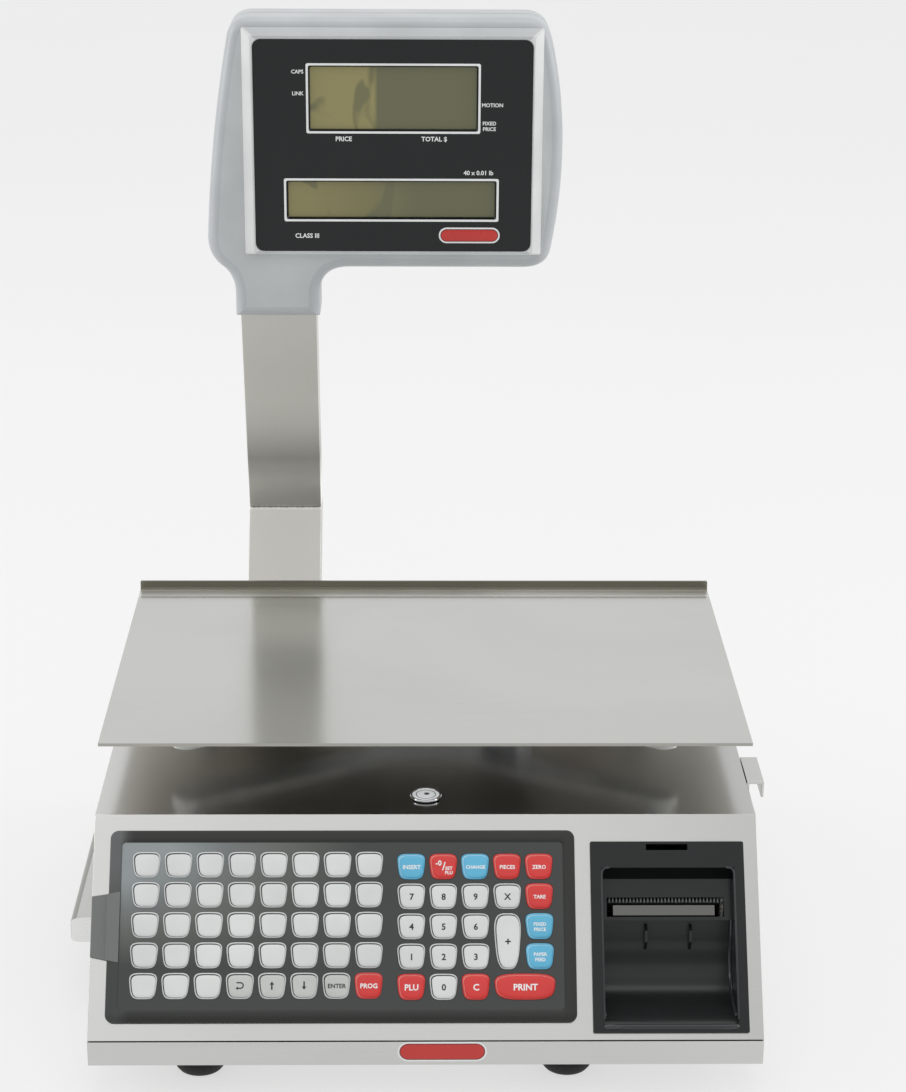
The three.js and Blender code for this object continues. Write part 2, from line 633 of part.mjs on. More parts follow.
// ---- pole and display head ---------------------------------------------------------------------

// The polyline moved sideways by `distance`, with its corners mitred and its ends run on by `extra`.
function moved(line, distance, extra = 0) {
  const points = line.map(([y, z]) => new THREE.Vector2(y, z));
  const sections = points.slice(1).map((end, i) => {
    const along = end.clone().sub(points[i]).normalize();
    return { along, normal: new THREE.Vector2(along.y, -along.x) };
  });
  return points.map((point, i) => {
    const before = sections[Math.max(i - 1, 0)];
    const after = sections[Math.min(i, sections.length - 1)];
    const mitre = before.normal.clone().add(after.normal);
    mitre.multiplyScalar(distance / mitre.dot(before.normal));
    const shifted = point.clone().add(mitre);
    if (i === 0) shifted.addScaledVector(after.along, -extra);
    if (i === points.length - 1) shifted.addScaledVector(before.along, extra);
    return [shifted.x, shifted.y];
  });
}

// The pole's outer solid drawn `inset` inside its faces, with its ends run on by `extra`.
function poleBar(inset, extra) {
  const { x, width, depth } = POLE;
  const outline = [
    ...moved(POLE_FRONT, inset, extra),
    ...moved(POLE_FRONT, depth - inset, extra).reverse(),
  ];
  return barX(shapeOf(outline), x - width / 2 + inset, x + width / 2 - inset);
}

// The tube stands on its base plate with its foot cut level.
function displayPole() {
  const foot = BODY.deck + POLE_BASE.sheet + 2 * GAP;
  const below = box(POLE.x - POLE.width, POLE.x + POLE.width, 50, BODY.back + 50, 50, foot);
  return part('display_pole', poleBar(0, 0).subtract(poleBar(POLE.wall, 2)).subtract(below), steel);
}

// Base plate on the rear of the deck, with a cheek on either side of the tube.
function poleBracket() {
  const { front, back, sheet, margin, cheekTop, cableY } = POLE_BASE;
  const inner = POLE.width / 2 + GAP;
  const low = BODY.deck + GAP;
  const cheek = shapeOf([[front + 6, low + 1], [back - 4, low + 1], [back + 6, cheekTop], [front + 34, cheekTop]]);
  const bracket = box(POLE.x - inner - margin, POLE.x + inner + margin, front, back, low, low + sheet)
    .add(barX(cheek, POLE.x - inner - sheet, POLE.x - inner))
    .add(barX(cheek, POLE.x + inner, POLE.x + inner + sheet))
    .subtract(rod([POLE.x, cableY, low - 1], [POLE.x, cableY, low + sheet + 1], POLE.cable));
  return part('pole_bracket', bracket, steel);
}

// The head seen from the front, with the neck that takes the pole at its lower left.
function headShape() {
  const [left, right, foot, low, top] = [-120.8, -67.2, 360, 392, 549.4];
  const shape = new THREE.Shape();
  shape.moveTo(left, foot);
  shape.lineTo(right, foot);
  shape.lineTo(right, 374);
  shape.quadraticCurveTo(right, low, -48, low);
  shape.lineTo(62, low);
  shape.quadraticCurveTo(78, low, 80, 405);
  shape.quadraticCurveTo(93, 474, 78.5, 536);
  shape.quadraticCurveTo(75.5, top, 62, top);
  shape.lineTo(-108, top);
  shape.quadraticCurveTo(-121, top, -123, 537);
  shape.quadraticCurveTo(-134.7, 474, -137.6, 412);
  shape.quadraticCurveTo(-138, 400, -129.5, 393);
  shape.quadraticCurveTo(left, 387, left, 374);
  shape.closePath();
  return shape;
}

// Both halves of the head in one solid, drawn `inset` inside its outer faces.
function headBody(inset) {
  const { middle, halfDepth, edge, edgeDepth } = HEAD;
  const straight = 2 * (halfDepth - inset - edgeDepth);
  const geometry = new THREE.ExtrudeGeometry(headShape(), {
    depth: straight,
    bevelThickness: edgeDepth,
    bevelSize: edge,
    bevelOffset: -edge - inset,
    bevelSegments: 3,
    curveSegments: 5,
  });
  return solid(geometry.rotateX(Math.PI / 2).translate(0, middle + straight / 2, 0));
}

// Distances out from the middle of the head become Y positions on the operator's or customer's side.
function sideSpan(side, from, to) {
  const ys = [HEAD.middle + side * from, HEAD.middle + side * to];
  return [Math.min(...ys), Math.max(...ys)];
}

// The raised surround of a faceplate, sloping in on its four sides.
function raisedFrame(side) {
  const { left, right, low, high, proud, slope } = FRAME;
  const rings = [[0, HEAD.halfDepth - 1], [slope, HEAD.halfDepth + proud]];
  const points = rings.flatMap(([inset, out]) => {
    const [x0, x1, z0, z1] = [left + inset, right - inset, low + inset * 0.3, high - inset * 0.9];
    return rectangle(x0, x1, z0, z1).map(([x, z]) => new THREE.Vector3(x, HEAD.middle + side * out, z));
  });
  return solid(new ConvexGeometry(points));
}

// One shell of the head. `side` is -1 for the operator's half and 1 for the customer's.
function headShell(name, side) {
  const { halfDepth, wall } = HEAD;
  const ledge = halfDepth + FRAME.ledge;
  const opening = rectangle(FACE.left - GAP, FACE.right + GAP, FACE.low - GAP, FACE.high + GAP);
  const window = rectangle(FACE.left + 4, FACE.right - 4, FACE.low + 4, FACE.high - 4);
  const shell = headBody(0)
    .intersect(box(-200, 200, ...sideSpan(side, GAP / 2, halfDepth + 1), 300, 600))
    .add(raisedFrame(side))
    .subtract(headBody(wall))
    .subtract(poleBar(-GAP, 4))
    .subtract(barY(roundedShape(opening, FACE.corner), ...sideSpan(side, ledge, ledge + 9)))
    .subtract(barY(roundedShape(window, FACE.corner), ...sideSpan(side, halfDepth - wall - 1, ledge + 9)));
  return part(name, shell, greyPlastic);
}

function faceplate(name, side) {
  const out = HEAD.halfDepth + FRAME.ledge + GAP;
  const outline = roundedShape(rectangle(FACE.left, FACE.right, FACE.low, FACE.high), FACE.corner);
  return part(name, barY(outline, ...sideSpan(side, out, out + FACE.thick)), faceBlack);
}

// The board behind the faceplate with its two glass displays.
function lcdModule(name, side) {
  const glass = sideSpan(side, HEAD.halfDepth - 2.4, HEAD.halfDepth + FRAME.ledge - GAP);
  const module = box(-98, 58, ...sideSpan(side, HEAD.halfDepth - 3.8, HEAD.halfDepth - 2.2), 412, 529)
    .add(box(-72, 32, ...glass, 480, 523))
    .add(box(-86, 44, ...glass, 425, 450));
  return part(name, module, displayGlass);
}

// ---- assembly ----------------------------------------------------------------------------------

const parts = new THREE.Group();
parts.add(baseTray(), topCover(), ...FOOT_PLACES.map((place) => foot(...place)), levelVial());
parts.add(loadCell(), spider(), platter(), sideGrip(), sideTab());
parts.add(mainBoard(), powerSupply(), powerInlet(), powerSwitchRocker());

panel.add(keypadCircuit(), keypadOverlay(), labelCard(), ...KEYS.map(keyCap));
panel.add(tearBar(), peelPlate());
parts.add(panel);
parts.add(drawerFascia(), drawerChassis(), printHead(), platenRoller(), platenGear());
parts.add(feedMotor(), motorPinion(), labelRoll());

parts.add(displayPole(), poleBracket());
parts.add(headShell('display_front_shell', -1), headShell('display_rear_shell', 1));
parts.add(faceplate('operator_faceplate', -1), faceplate('customer_faceplate', 1));
parts.add(lcdModule('operator_lcd_module', -1), lcdModule('customer_lcd_module', 1));

// The finished scale is centred over the origin.
const centre = new THREE.Box3().setFromObject(parts, true).getCenter(new THREE.Vector3());
parts.position.set(-centre.x, -centre.y, 0);

const scale = new THREE.Group();
scale.add(parts);

export default scale;
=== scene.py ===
# Looks of a counter price scale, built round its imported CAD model.
# Sizes in this file are millimetres, in the CAD's working frame: X = 0 is the middle of the body, Y = 0 the
# middle of the platter and Z = 0 the table. Row-frame metres appear where a mesh is made and in the materials.

import math

import bmesh
import bpy
from mathutils import Matrix, Vector
from mathutils.geometry import tessellate_polygon


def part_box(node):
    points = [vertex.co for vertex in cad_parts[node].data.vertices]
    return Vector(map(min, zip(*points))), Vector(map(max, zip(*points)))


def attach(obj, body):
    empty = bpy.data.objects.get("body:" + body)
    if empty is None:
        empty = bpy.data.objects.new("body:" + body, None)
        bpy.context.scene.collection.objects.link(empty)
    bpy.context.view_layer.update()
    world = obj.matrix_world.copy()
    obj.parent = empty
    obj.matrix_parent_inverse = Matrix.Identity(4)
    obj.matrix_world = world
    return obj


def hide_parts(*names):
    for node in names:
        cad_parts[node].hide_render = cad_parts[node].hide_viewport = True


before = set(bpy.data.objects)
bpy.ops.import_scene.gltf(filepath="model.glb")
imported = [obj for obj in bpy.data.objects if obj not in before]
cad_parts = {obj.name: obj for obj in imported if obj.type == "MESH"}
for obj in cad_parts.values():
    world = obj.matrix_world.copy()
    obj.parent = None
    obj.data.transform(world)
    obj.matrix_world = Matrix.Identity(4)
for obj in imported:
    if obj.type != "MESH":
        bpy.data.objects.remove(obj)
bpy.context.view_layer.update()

MM = 0.001

# ---- frames ----

platter_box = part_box("platter")
cover_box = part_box("top_cover")
PLATTER_MIDDLE = (platter_box[0] + platter_box[1]) / 2
PLACE = Matrix.Translation((PLATTER_MIDDLE.x, PLATTER_MIDDLE.y, 0)) @ Matrix.Scale(MM, 4)


def working(point):
    """A row-frame point in the working frame's millimetres."""
    return PLACE.inverted() @ Vector(point)


FRONT = working(cover_box[0]).y
BACK = working(cover_box[1]).y
SIDE = working(cover_box[1]).x
DECK = working(cover_box[1]).z
LIP_TOP = 35.0
LIP_LOW = 20.0
DECK_FRONT = -137.0

PANEL_ANGLE = math.atan2(DECK - LIP_TOP, DECK_FRONT - FRONT)
PANEL = PLACE @ Matrix.Translation((0, FRONT, LIP_TOP)) @ Matrix.Rotation(PANEL_ANGLE, 4, "X")

FACE_MIDDLE = -20.1  # X of the middle of the display faceplates
HEAD_MIDDLE = 150.0  # Y of the display head's middle plane
FACE_OUT = 28.0  # from that plane to the front of a faceplate


def axes(origin, x_axis, y_axis):
    """A frame in the working frame, from its origin and its first two axes."""
    x_axis, y_axis = Vector(x_axis), Vector(y_axis)
    basis = Matrix((x_axis, y_axis, x_axis.cross(y_axis))).transposed().to_4x4()
    return PLACE @ Matrix.Translation(origin) @ basis


def display_frame(side):
    """X to the reader's right, Y up and Z out of the face; side is -1 for the operator and 1 for the customer."""
    return axes((FACE_MIDDLE, HEAD_MIDDLE, 0), (-side, 0, 0), (0, 0, 1))


# ---- materials ----


def srgb(red, green, blue):
    """A displayed colour of 0 to 255 as linear light."""
    return tuple(((c / 255 + 0.055) / 1.055) ** 2.4 if c > 10 else c / 255 / 12.92 for c in (red, green, blue))


def set_inputs(tree, node, inputs):
    """Links each input of a node, found by its name or number, to a socket, or sets it to a value."""
    for name, value in inputs.items():
        socket = node.inputs[name.replace("_", " ") if isinstance(name, str) else name]
        if isinstance(value, bpy.types.NodeSocket):
            tree.links.new(value, socket)
        else:
            socket.default_value = value


def add_node(tree, kind, **inputs):
    node = tree.nodes.new("ShaderNode" + kind)
    set_inputs(tree, node, inputs)
    return node


class Look:
    """A procedural material. Its textures use the object's own space, in metres."""

    def __init__(self, name, color, roughness, metallic=0.0, **inputs):
        self.material = bpy.data.materials.new(name)
        self.material.use_nodes = True
        self.tree = self.material.node_tree
        self.color = color
        self.place = add_node(self.tree, "TexCoord").outputs["Object"]
        self.shade(Base_Color=(*color, 1), Roughness=roughness, Metallic=metallic, **inputs)

    def shade(self, **inputs):
        """Sets or links inputs of the surface's own shader."""
        set_inputs(self.tree, self.tree.nodes["Principled BSDF"], inputs)
        return self

    def noise(self, scale, stretch=(1, 1, 1), detail=3.0, distortion=0.0):
        """Noise from 0 to 1 with about `scale` features a metre, drawn out along an axis by a small stretch."""
        place = add_node(self.tree, "Mapping", Vector=self.place, Scale=stretch).outputs["Vector"]
        texture = add_node(self.tree, "TexNoise", Vector=place, Scale=scale, Detail=detail, Distortion=distortion)
        return texture.outputs["Fac"]

    def axis(self, index):
        """One coordinate of the surface point, in metres."""
        return add_node(self.tree, "SeparateXYZ", Vector=self.place).outputs[index]

    def math(self, operation, first, second):
        """The result of a math node on two sockets or numbers."""
        node = add_node(self.tree, "Math")
        node.operation = operation
        set_inputs(self.tree, node, {0: first, 1: second})
        return node.outputs[0]

    def product(self, first, second):
        return self.math("MULTIPLY", first, second)

    def spread(self, factor, low, high, start=0.3, end=0.7):
        """The factor's range from start to end, mapped to low and high."""
        return add_node(self.tree, "MapRange", Value=factor, From_Min=start, From_Max=end, To_Min=low,
                        To_Max=high).outputs["Result"]

    def along(self, index, low, high, start, end):
        """One coordinate's range from start to end, in metres, mapped to low and high."""
        return self.spread(self.axis(index), low, high, start, end)

    def paint(self, factor, stops):
        """Colours the surface along the factor, from pairs of a position and a colour."""
        node = add_node(self.tree, "ValToRGB", Fac=factor)
        elements = node.color_ramp.elements
        elements[0].position, elements[1].position = stops[0][0], stops[-1][0]
        for position, _ in stops[1:-1]:
            elements.new(position)
        for element, (_, color) in zip(elements, stops):
            element.color = (*color, 1)
        return self.shade(Base_Color=node.outputs["Color"])

    def tint(self, factor, amount):
        """Varies the base colour by the given share to either side."""
        dark = tuple(c * (1 - amount) for c in self.color)
        light = tuple(min(1.0, c * (1 + amount)) for c in self.color)
        return self.paint(factor, [(0.3, dark), (0.7, light)])

    def roughen(self, factor, low, high):
        return self.shade(Roughness=self.spread(factor, low, high))

    def relief(self, factor, height):
        """Raises the surface by up to `height` millimetres."""
        bump = add_node(self.tree, "Bump", Strength=1.0, Distance=height * MM, Height=factor)
        return self.shade(Normal=bump.outputs["Normal"])


def brushed(name, color, roughness, along, lines=1500.0, groove=0.0016):
    """Sheet metal with fine lines along one axis, faint clouds and finger marks."""
    look = Look(name, color, roughness, 1.0)
    stretch = [1.0, 1.0, 1.0]
    stretch["XYZ".index(along)] = 0.006
    grain = look.noise(lines, stretch, 4.0)
    clouds = look.noise(7.0, detail=4.0, distortion=0.6)
    look.tint(look.math("ADD", look.product(grain, 0.35), look.product(clouds, 0.65)), 0.05)
    marks = look.math("ADD", look.product(grain, 0.5), look.product(clouds, 0.5))
    look.roughen(marks, roughness * 0.8, roughness * 1.25)
    return look.relief(grain, groove)


def moulded(name, shown, roughness, grain=2600.0, height=0.006, **sockets):
    """Moulded plastic of a displayed colour, with a fine even texture and a slight drift of tone."""
    look = Look(name, srgb(*shown), roughness, **sockets)
    look.tint(look.noise(30.0, detail=4.0), 0.06)
    texture = look.noise(grain, detail=2.0)
    look.roughen(texture, roughness * 0.85, roughness * 1.15)
    return look.relief(texture, height)


def cast(name, color, roughness):
    """Cast or plated metal with a fine pebbled skin."""
    look = Look(name, color, roughness, 1.0)
    look.tint(look.noise(60.0, detail=5.0), 0.12)
    skin = look.noise(900.0, detail=3.0)
    look.roughen(skin, roughness * 0.75, roughness * 1.3)
    return look.relief(skin, 0.02)


def display_glass():
    """A reflective liquid-crystal glass that is switched off: olive, with paler patches towards its left end."""
    look = Look("display_glass", srgb(112, 114, 86), 0.12)
    patches = look.noise(34.0, (1.0, 1.0, 0.55), 1.5, 1.4)
    upper = look.along(2, 0.0, 1.0, 0.462, 0.466)
    lower = look.math("SUBTRACT", 0.85, upper)
    sharp = look.product(upper, look.along(0, 1.0, 0.0, -0.026, -0.0235))
    faded = look.product(lower, look.along(0, 1.0, 0.0, -0.08, 0.0))
    share = look.math("MAXIMUM", sharp, faded)
    mask = look.product(look.spread(patches, 0.15, 1.0, 0.4, 0.47), share)
    look.paint(mask, [(0.0, srgb(105, 106, 77)), (0.3, srgb(124, 120, 80)), (1.0, srgb(148, 141, 92))])
    return look.relief(look.noise(160.0), 0.004)


def clear_film():
    """The clear film over the keypad's grey backing, paler towards its upper left where it catches the light."""
    look = Look("film_grey", srgb(64, 66, 65), 0.14)
    across = look.along(0, 1.0, 0.0, -0.172, -0.03)
    upwards = look.along(2, 0.0, 1.0, 0.07, 0.122)
    waves = look.spread(look.noise(9.0, detail=1.0), 0.8, 1.2)
    look.paint(look.product(look.product(across, upwards), waves), [
        (0.0, srgb(54, 57, 56)), (0.32, srgb(94, 96, 92)), (0.55, srgb(112, 117, 117)), (0.85, srgb(144, 151, 152))])
    return look.relief(look.noise(300.0), 0.003)


def film_border():
    """The printed border of the keypad film, paler where the light catches its upper left."""
    look = Look("bezel_grey", srgb(42, 43, 42), 0.34, Specular_IOR_Level=0.36)
    left = look.along(0, 1.0, 0.0, -0.167, -0.16)
    upwards = look.along(2, 0.45, 1.0, 0.085, 0.115)
    look.paint(look.product(left, upwards), [
        (0.0, srgb(44, 45, 43)), (0.45, srgb(62, 64, 63)), (1.0, srgb(96, 99, 99))])
    return look.relief(look.noise(1800.0, detail=2.0), 0.006)


def upright_steel():
    """Brushed steel for the pole, with painted reflections: lighter and darker bands of colour along its height."""
    look = brushed("brushed_steel_upright", (0.56, 0.555, 0.525), 0.42, "Z")
    height = look.along(2, 0.0, 1.0, 0.138, 0.388)
    stops = ((0.25, 0.59), (0.29, 0.61), (0.3, 1.0), (0.36, 1.0), (0.384, 0.91), (0.408, 0.72), (0.45, 0.49),
             (0.5, 0.58), (0.552, 0.67), (0.62, 0.7), (0.72, 0.67), (1.0, 0.66))
    return look.paint(height, [(place, (tone, 0.99 * tone, 0.935 * tone)) for place, tone in stops])


def cover_steel():
    """The brushed steel of the top cover, a little darker towards its right side."""
    look = brushed("cover_steel", STEEL, 0.2, "X")
    stops = ((0.0, 0.67), (0.25, 0.61), (0.72, 0.6), (1.0, 0.53))
    across = look.along(0, 0.0, 1.0, -0.19, 0.19)
    return look.paint(across, [(place, (tone, tone, 0.975 * tone)) for place, tone in stops])


def shaded_underside():
    """The unpolished underside of the platter, with painted shade that darkens it towards its middle."""
    look = Look("platter_underside", (0.3, 0.27, 0.22), 0.4, 1.0)
    from_middle = look.math("ABSOLUTE", look.axis(0), 0.0)
    shade = look.spread(from_middle, 0.0, 1.0, 0.05, 0.17)
    look.paint(shade, [(0.0, (0.2, 0.18, 0.14)), (0.5, (0.32, 0.29, 0.24)), (1.0, (0.6, 0.58, 0.53))])
    return look.relief(look.noise(800.0, (0.006, 1.0, 1.0)), 0.002)


def circuit_card():
    """Green lacquered board with a web of paler tracks."""
    look = Look("circuit_card", srgb(28, 92, 58), 0.35)
    tracks = look.noise(260.0, (1.0, 0.12, 1.0), 1.0)
    look.paint(tracks, [(0.48, srgb(24, 84, 52)), (0.5, srgb(66, 140, 92)), (0.54, srgb(24, 84, 52))])
    return look.relief(tracks, 0.03)


WINDING = 9000.0  # radians of the pattern of turns for each metre of the roll's radius


def wound_paper():
    """A label roll: thermal paper with its turns showing at the ends."""
    look = Look("wound_paper", srgb(240, 239, 232), 0.7)
    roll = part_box("label_roll")
    middle = (roll[0] + roll[1]) / 2
    y_part = look.math("POWER", look.math("SUBTRACT", look.axis(1), middle.y), 2.0)
    z_part = look.math("POWER", look.math("SUBTRACT", look.axis(2), middle.z), 2.0)
    distance = look.math("SQRT", look.math("ADD", y_part, z_part), 0.0)
    turns = look.math("SINE", look.product(distance, WINDING), 0.0)
    look.paint(look.spread(turns, 0.0, 1.0, -1.0, 1.0), [(0.1, srgb(214, 211, 200)), (0.6, srgb(243, 242, 236))])
    return look.relief(look.noise(1200.0), 0.01)


STEEL = (0.60, 0.60, 0.585)
steel = brushed("brushed_steel", STEEL, 0.2, "X")
cover_finish = cover_steel()
steel_side = brushed("brushed_steel_side", STEEL, 0.22, "Y")
steel_upright = upright_steel()
platter_steel = brushed("platter_steel", (0.61, 0.61, 0.59), 0.17, "X", 1300.0, 0.001)
platter_edge = brushed("platter_edge", (0.40, 0.39, 0.36), 0.3, "X")
# A paler copy of the platter's steel for the curve of its rear fold: a painted highlight.
fold_highlight_steel = brushed("fold_highlight_steel", (0.84, 0.84, 0.81), 0.3, "X")
platter_underside = shaded_underside()
# A dark copy of the platter's steel for its rear upstand: painted shade.
shaded_upstand_steel = brushed("shaded_upstand_steel", (0.22, 0.21, 0.165), 0.3, "X")
bright_steel = brushed("bright_steel", (0.72, 0.73, 0.74), 0.14, "X", 900.0, 0.0008)
peel_steel = brushed("peel_steel", (0.16, 0.16, 0.155), 0.3, "Y")
zinc_steel = cast("zinc_steel", (0.55, 0.56, 0.55), 0.34)
aluminium = cast("cast_aluminium", (0.66, 0.67, 0.68), 0.36)
grey_plastic = moulded("grey_plastic", (190, 194, 195), 0.34)
rim_plastic = moulded("rim_plastic", (181, 185, 187), 0.34)
# Paler copies of the housing's grey plastic for the surround's sides and for the faces that look down: painted light.
lit_side_plastic = moulded("lit_side_plastic", (219, 221, 220), 0.3)
lit_underside_plastic = moulded("lit_underside_plastic", (208, 213, 214), 0.32)
black_plastic = moulded("black_plastic", (22, 24, 25), 0.22, 2200, 0.003, Specular_IOR_Level=0.36)
gear_plastic = moulded("gear_plastic", (226, 225, 214), 0.42)
# A paler copy of the black plastic for the inside of the scoop: painted light.
lit_scoop_black = moulded("lit_scoop_black", (33, 36, 36), 0.24, 2200, 0.003, Specular_IOR_Level=0.36)
shade_black = moulded("shade_black", (8, 9, 9), 0.4, 2200, 0.003, Specular_IOR_Level=0.15)
# Paler and glossier than the black plastic: a painted highlight on rounded edges, with real gloss as well.
edge_highlight_black = moulded("edge_highlight_black", (48, 52, 54), 0.16, 2200, 0.003, Specular_IOR_Level=0.6)
# A grey for the blackened teeth of the tear bar: painted highlights on their tips.
tooth_highlight_grey = moulded("tooth_highlight_grey", (104, 106, 106), 0.3, 2200, 0.003)
grip_front = brushed("grip_front", (0.8, 0.8, 0.79), 0.3, "X")
grip_edge = brushed("grip_edge", (0.33, 0.33, 0.31), 0.3, "Y")
face_black = moulded("face_black", (20, 23, 24), 0.16, 400, 0.002, Specular_IOR_Level=0.34)
bezel_grey = film_border()
film_grey = clear_film()
card_grey = moulded("card_grey", (115, 117, 116), 0.55, 1200, 0.012)
key_white = moulded("key_white", (217, 220, 218), 0.22, 900, 0.003, Coat_Weight=0.2, Coat_Roughness=0.08)
key_grey = moulded("key_grey", (196, 198, 194), 0.24, 900, 0.003, Coat_Weight=0.2, Coat_Roughness=0.08)
key_ridge = moulded("key_ridge", (208, 211, 211), 0.14, 900, 0.003, Coat_Weight=0.5, Coat_Roughness=0.05)
key_groove = moulded("key_groove", (58, 60, 62), 0.4, 900, 0.003)
key_red = moulded("key_red", (212, 60, 58), 0.24, 900, 0.003, Specular_IOR_Level=0.4)
key_red_ring = moulded("key_red_ring", (236, 150, 142), 0.25, 900, 0.003)
key_blue = moulded("key_blue", (98, 182, 217), 0.24, 900, 0.003, Specular_IOR_Level=0.4)
key_blue_ring = moulded("key_blue_ring", (186, 228, 242), 0.25, 900, 0.003)
ink_dark = moulded("ink_dark", (38, 40, 44), 0.45, 1500, 0.002)
ink_white = moulded("ink_white", (236, 238, 238), 0.4, 1500, 0.002)
badge_red = moulded("badge_red", (198, 58, 52), 0.3, 300, 0.001, Specular_IOR_Level=0.4)
badge_shade = moulded("badge_shade", (96, 16, 16), 0.4, 300, 0.001)
rubber = moulded("rubber", (26, 26, 27), 0.7, 1400, 0.02)
white_pad = moulded("white_pad", (226, 226, 222), 0.4, 1400, 0.01)
# The glass glows a little: painted light where the platter keeps real light off it.
glowing_vial_glass = moulded("glowing_vial_glass", (214, 218, 218), 0.1, 200, 0.002, Emission_Color=(0.9, 0.92, 0.93, 1),
                     Emission_Strength=0.36)
lcd_glass = display_glass()
circuit_board = circuit_card()
paper = wound_paper()


# ---- meshes ----

SAME_POINT = 1e-6  # metres between points that are joined
SHARP = 34  # degrees between faces that meet in a sharp edge


def rounded(left, right, low, high, radius, steps=6):
    """A rectangle with rounded corners, counter-clockwise."""
    corners = ((right - radius, low + radius), (right - radius, high - radius),
               (left + radius, high - radius), (left + radius, low + radius))
    points = []
    for quarter, (x, y) in enumerate(corners):
        for i in range(steps + 1):
            angle = math.radians(90 * (quarter - 1) + 90 * i / steps)
            points.append((x + radius * math.cos(angle), y + radius * math.sin(angle)))
    return points


def framed(box, inset, radius, steps=6):
    """The rounded outline of a named rectangle, drawn in by a distance."""
    return rounded(box["left"] + inset, box["right"] - inset, box["low"] + inset, box["high"] - inset, radius, steps)


def shift(outline, x, y):
    return [(a + x, b + y) for a, b in outline]


def circle(radius, height, sides, middle=(0, 0)):
    turns = [2 * math.pi * i / sides for i in range(sides)]
    return [Vector((middle[0] + radius * math.cos(a), middle[1] + radius * math.sin(a), height)) for a in turns]


def lifted(outline, height):
    return [Vector((x, y, height)) for x, y in outline]


def shrunk(outline, distance):
    """A counter-clockwise outline moved inwards, each point along the middle of its corner."""
    result = []
    for i, point in enumerate(outline):
        here = Vector(point)
        before = (here - Vector(outline[i - 1])).normalized()
        after = (Vector(outline[(i + 1) % len(outline)]) - here).normalized()
        normal = Vector((-before.y, before.x))
        mitre = normal + Vector((-after.y, after.x))
        result.append(tuple(here + mitre * (distance / mitre.dot(normal))))
    return result


def quadratic(start, control, end, steps=14):
    """Points along a quadratic curve, without its start."""
    points = []
    for i in range(1, steps + 1):
        t = i / steps
        points.append(tuple(
            (1 - t) ** 2 * a + 2 * t * (1 - t) * b + t * t * c for a, b, c in zip(start, control, end)))
    return points


def in_scene(name, data):
    """A new object of this data, linked to the scene."""
    made = bpy.data.objects.new(name, data)
    bpy.context.scene.collection.objects.link(made)
    return made


class Sketch:
    """The points and faces of one piece, each face with the number of its material."""

    def __init__(self):
        self.points = []
        self.faces = []
        self.looks = []

    def add(self, points, faces, look=0):
        base = len(self.points)
        self.points += [Vector(p) for p in points]
        self.faces += [[base + i for i in face] for face in faces]
        self.looks += [look] * len(faces)

    def skin(self, rings, look=0, looks=None, start=True, end=True, closed=False):
        """Joins equal rings into a tube. `looks` gives each band its own material."""
        count = len(rings[0])
        spans = len(rings) if closed else len(rings) - 1
        base = len(self.points)
        self.points += [Vector(p) for ring in rings for p in ring]
        for r in range(spans):
            near, far = base + r * count, base + ((r + 1) % len(rings)) * count
            for i in range(count):
                j = (i + 1) % count
                self.faces.append([near + i, near + j, far + j, far + i])
                self.looks.append(looks[r] if looks else look)
        if start and not closed:
            self.faces.append([base + i for i in reversed(range(count))])
            self.looks.append(looks[0] if looks else look)
        if end and not closed:
            self.faces.append([base + (len(rings) - 1) * count + i for i in range(count)])
            self.looks.append(looks[-1] if looks else look)

    def sheet(self, outline, holes, height, look=0):
        """One flat face with holes."""
        loops = [lifted(loop, height) for loop in (outline, *holes)]
        self.add([p for loop in loops for p in loop], [list(t) for t in tessellate_polygon(loops)], look)

    def plate(self, outline, holes, low, high, look=0):
        """A flat plate with holes through it."""
        self.sheet(outline, holes, high, look)
        self.sheet(outline, holes, low, look)
        for loop in (outline, *holes):
            self.skin([lifted(loop, low), lifted(loop, high)], look, start=False, end=False)

    def letters(self, text, size, x, y, height, look, weight=0.018, spacing=1.1):
        """Raised lettering centred on a point, with its top at `height`."""
        curve = bpy.data.curves.new("lettering", "FONT")
        curve.body = text
        curve.size = size
        curve.align_x = curve.align_y = "CENTER"
        curve.space_line = spacing
        curve.resolution_u = 2
        curve.offset = size * weight
        curve.extrude = 0.02
        holder = in_scene("lettering", curve)
        shown = holder.evaluated_get(bpy.context.evaluated_depsgraph_get())
        mesh = bpy.data.meshes.new_from_object(shown)
        place = Vector((x, y, height - curve.extrude))
        self.add([v.co + place for v in mesh.vertices], [list(p.vertices) for p in mesh.polygons], look)
        bpy.data.objects.remove(holder)
        bpy.data.curves.remove(curve)
        bpy.data.meshes.remove(mesh)

    def build(self, name, body, looks, slot, matrix=PLACE, bevel=0.0, angle=32.0, stands_for=()):
        mesh = bpy.data.meshes.new(name)
        mesh.from_pydata([matrix @ p for p in self.points], [], self.faces)
        mesh.polygons.foreach_set("material_index", self.looks)
        for look in looks:
            mesh.materials.append(look.material)
        edit = bmesh.new()
        edit.from_mesh(mesh)
        bmesh.ops.remove_doubles(edit, verts=edit.verts, dist=SAME_POINT)
        bmesh.ops.recalc_face_normals(edit, faces=edit.faces)
        edit.to_mesh(mesh)
        edit.free()
        mesh.polygons.foreach_set("use_smooth", [True] * len(mesh.polygons))
        piece = in_scene(name, mesh)
        if bevel:
            soften(piece, bevel, angle)
        else:
            mesh.set_sharp_from_angle(angle=math.radians(SHARP))
        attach(piece, body)
        if stands_for:
            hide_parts(*stands_for)
        return piece


def soften(piece, width, angle=32.0):
    """Rounds the sharp edges of a piece and keeps its flat faces flat."""
    bevel = piece.modifiers.new("soft_edges", "BEVEL")
    bevel.width = width * MM
    bevel.segments = 2
    bevel.limit_method = "ANGLE"
    bevel.angle_limit = math.radians(angle)
    bevel.harden_normals = True


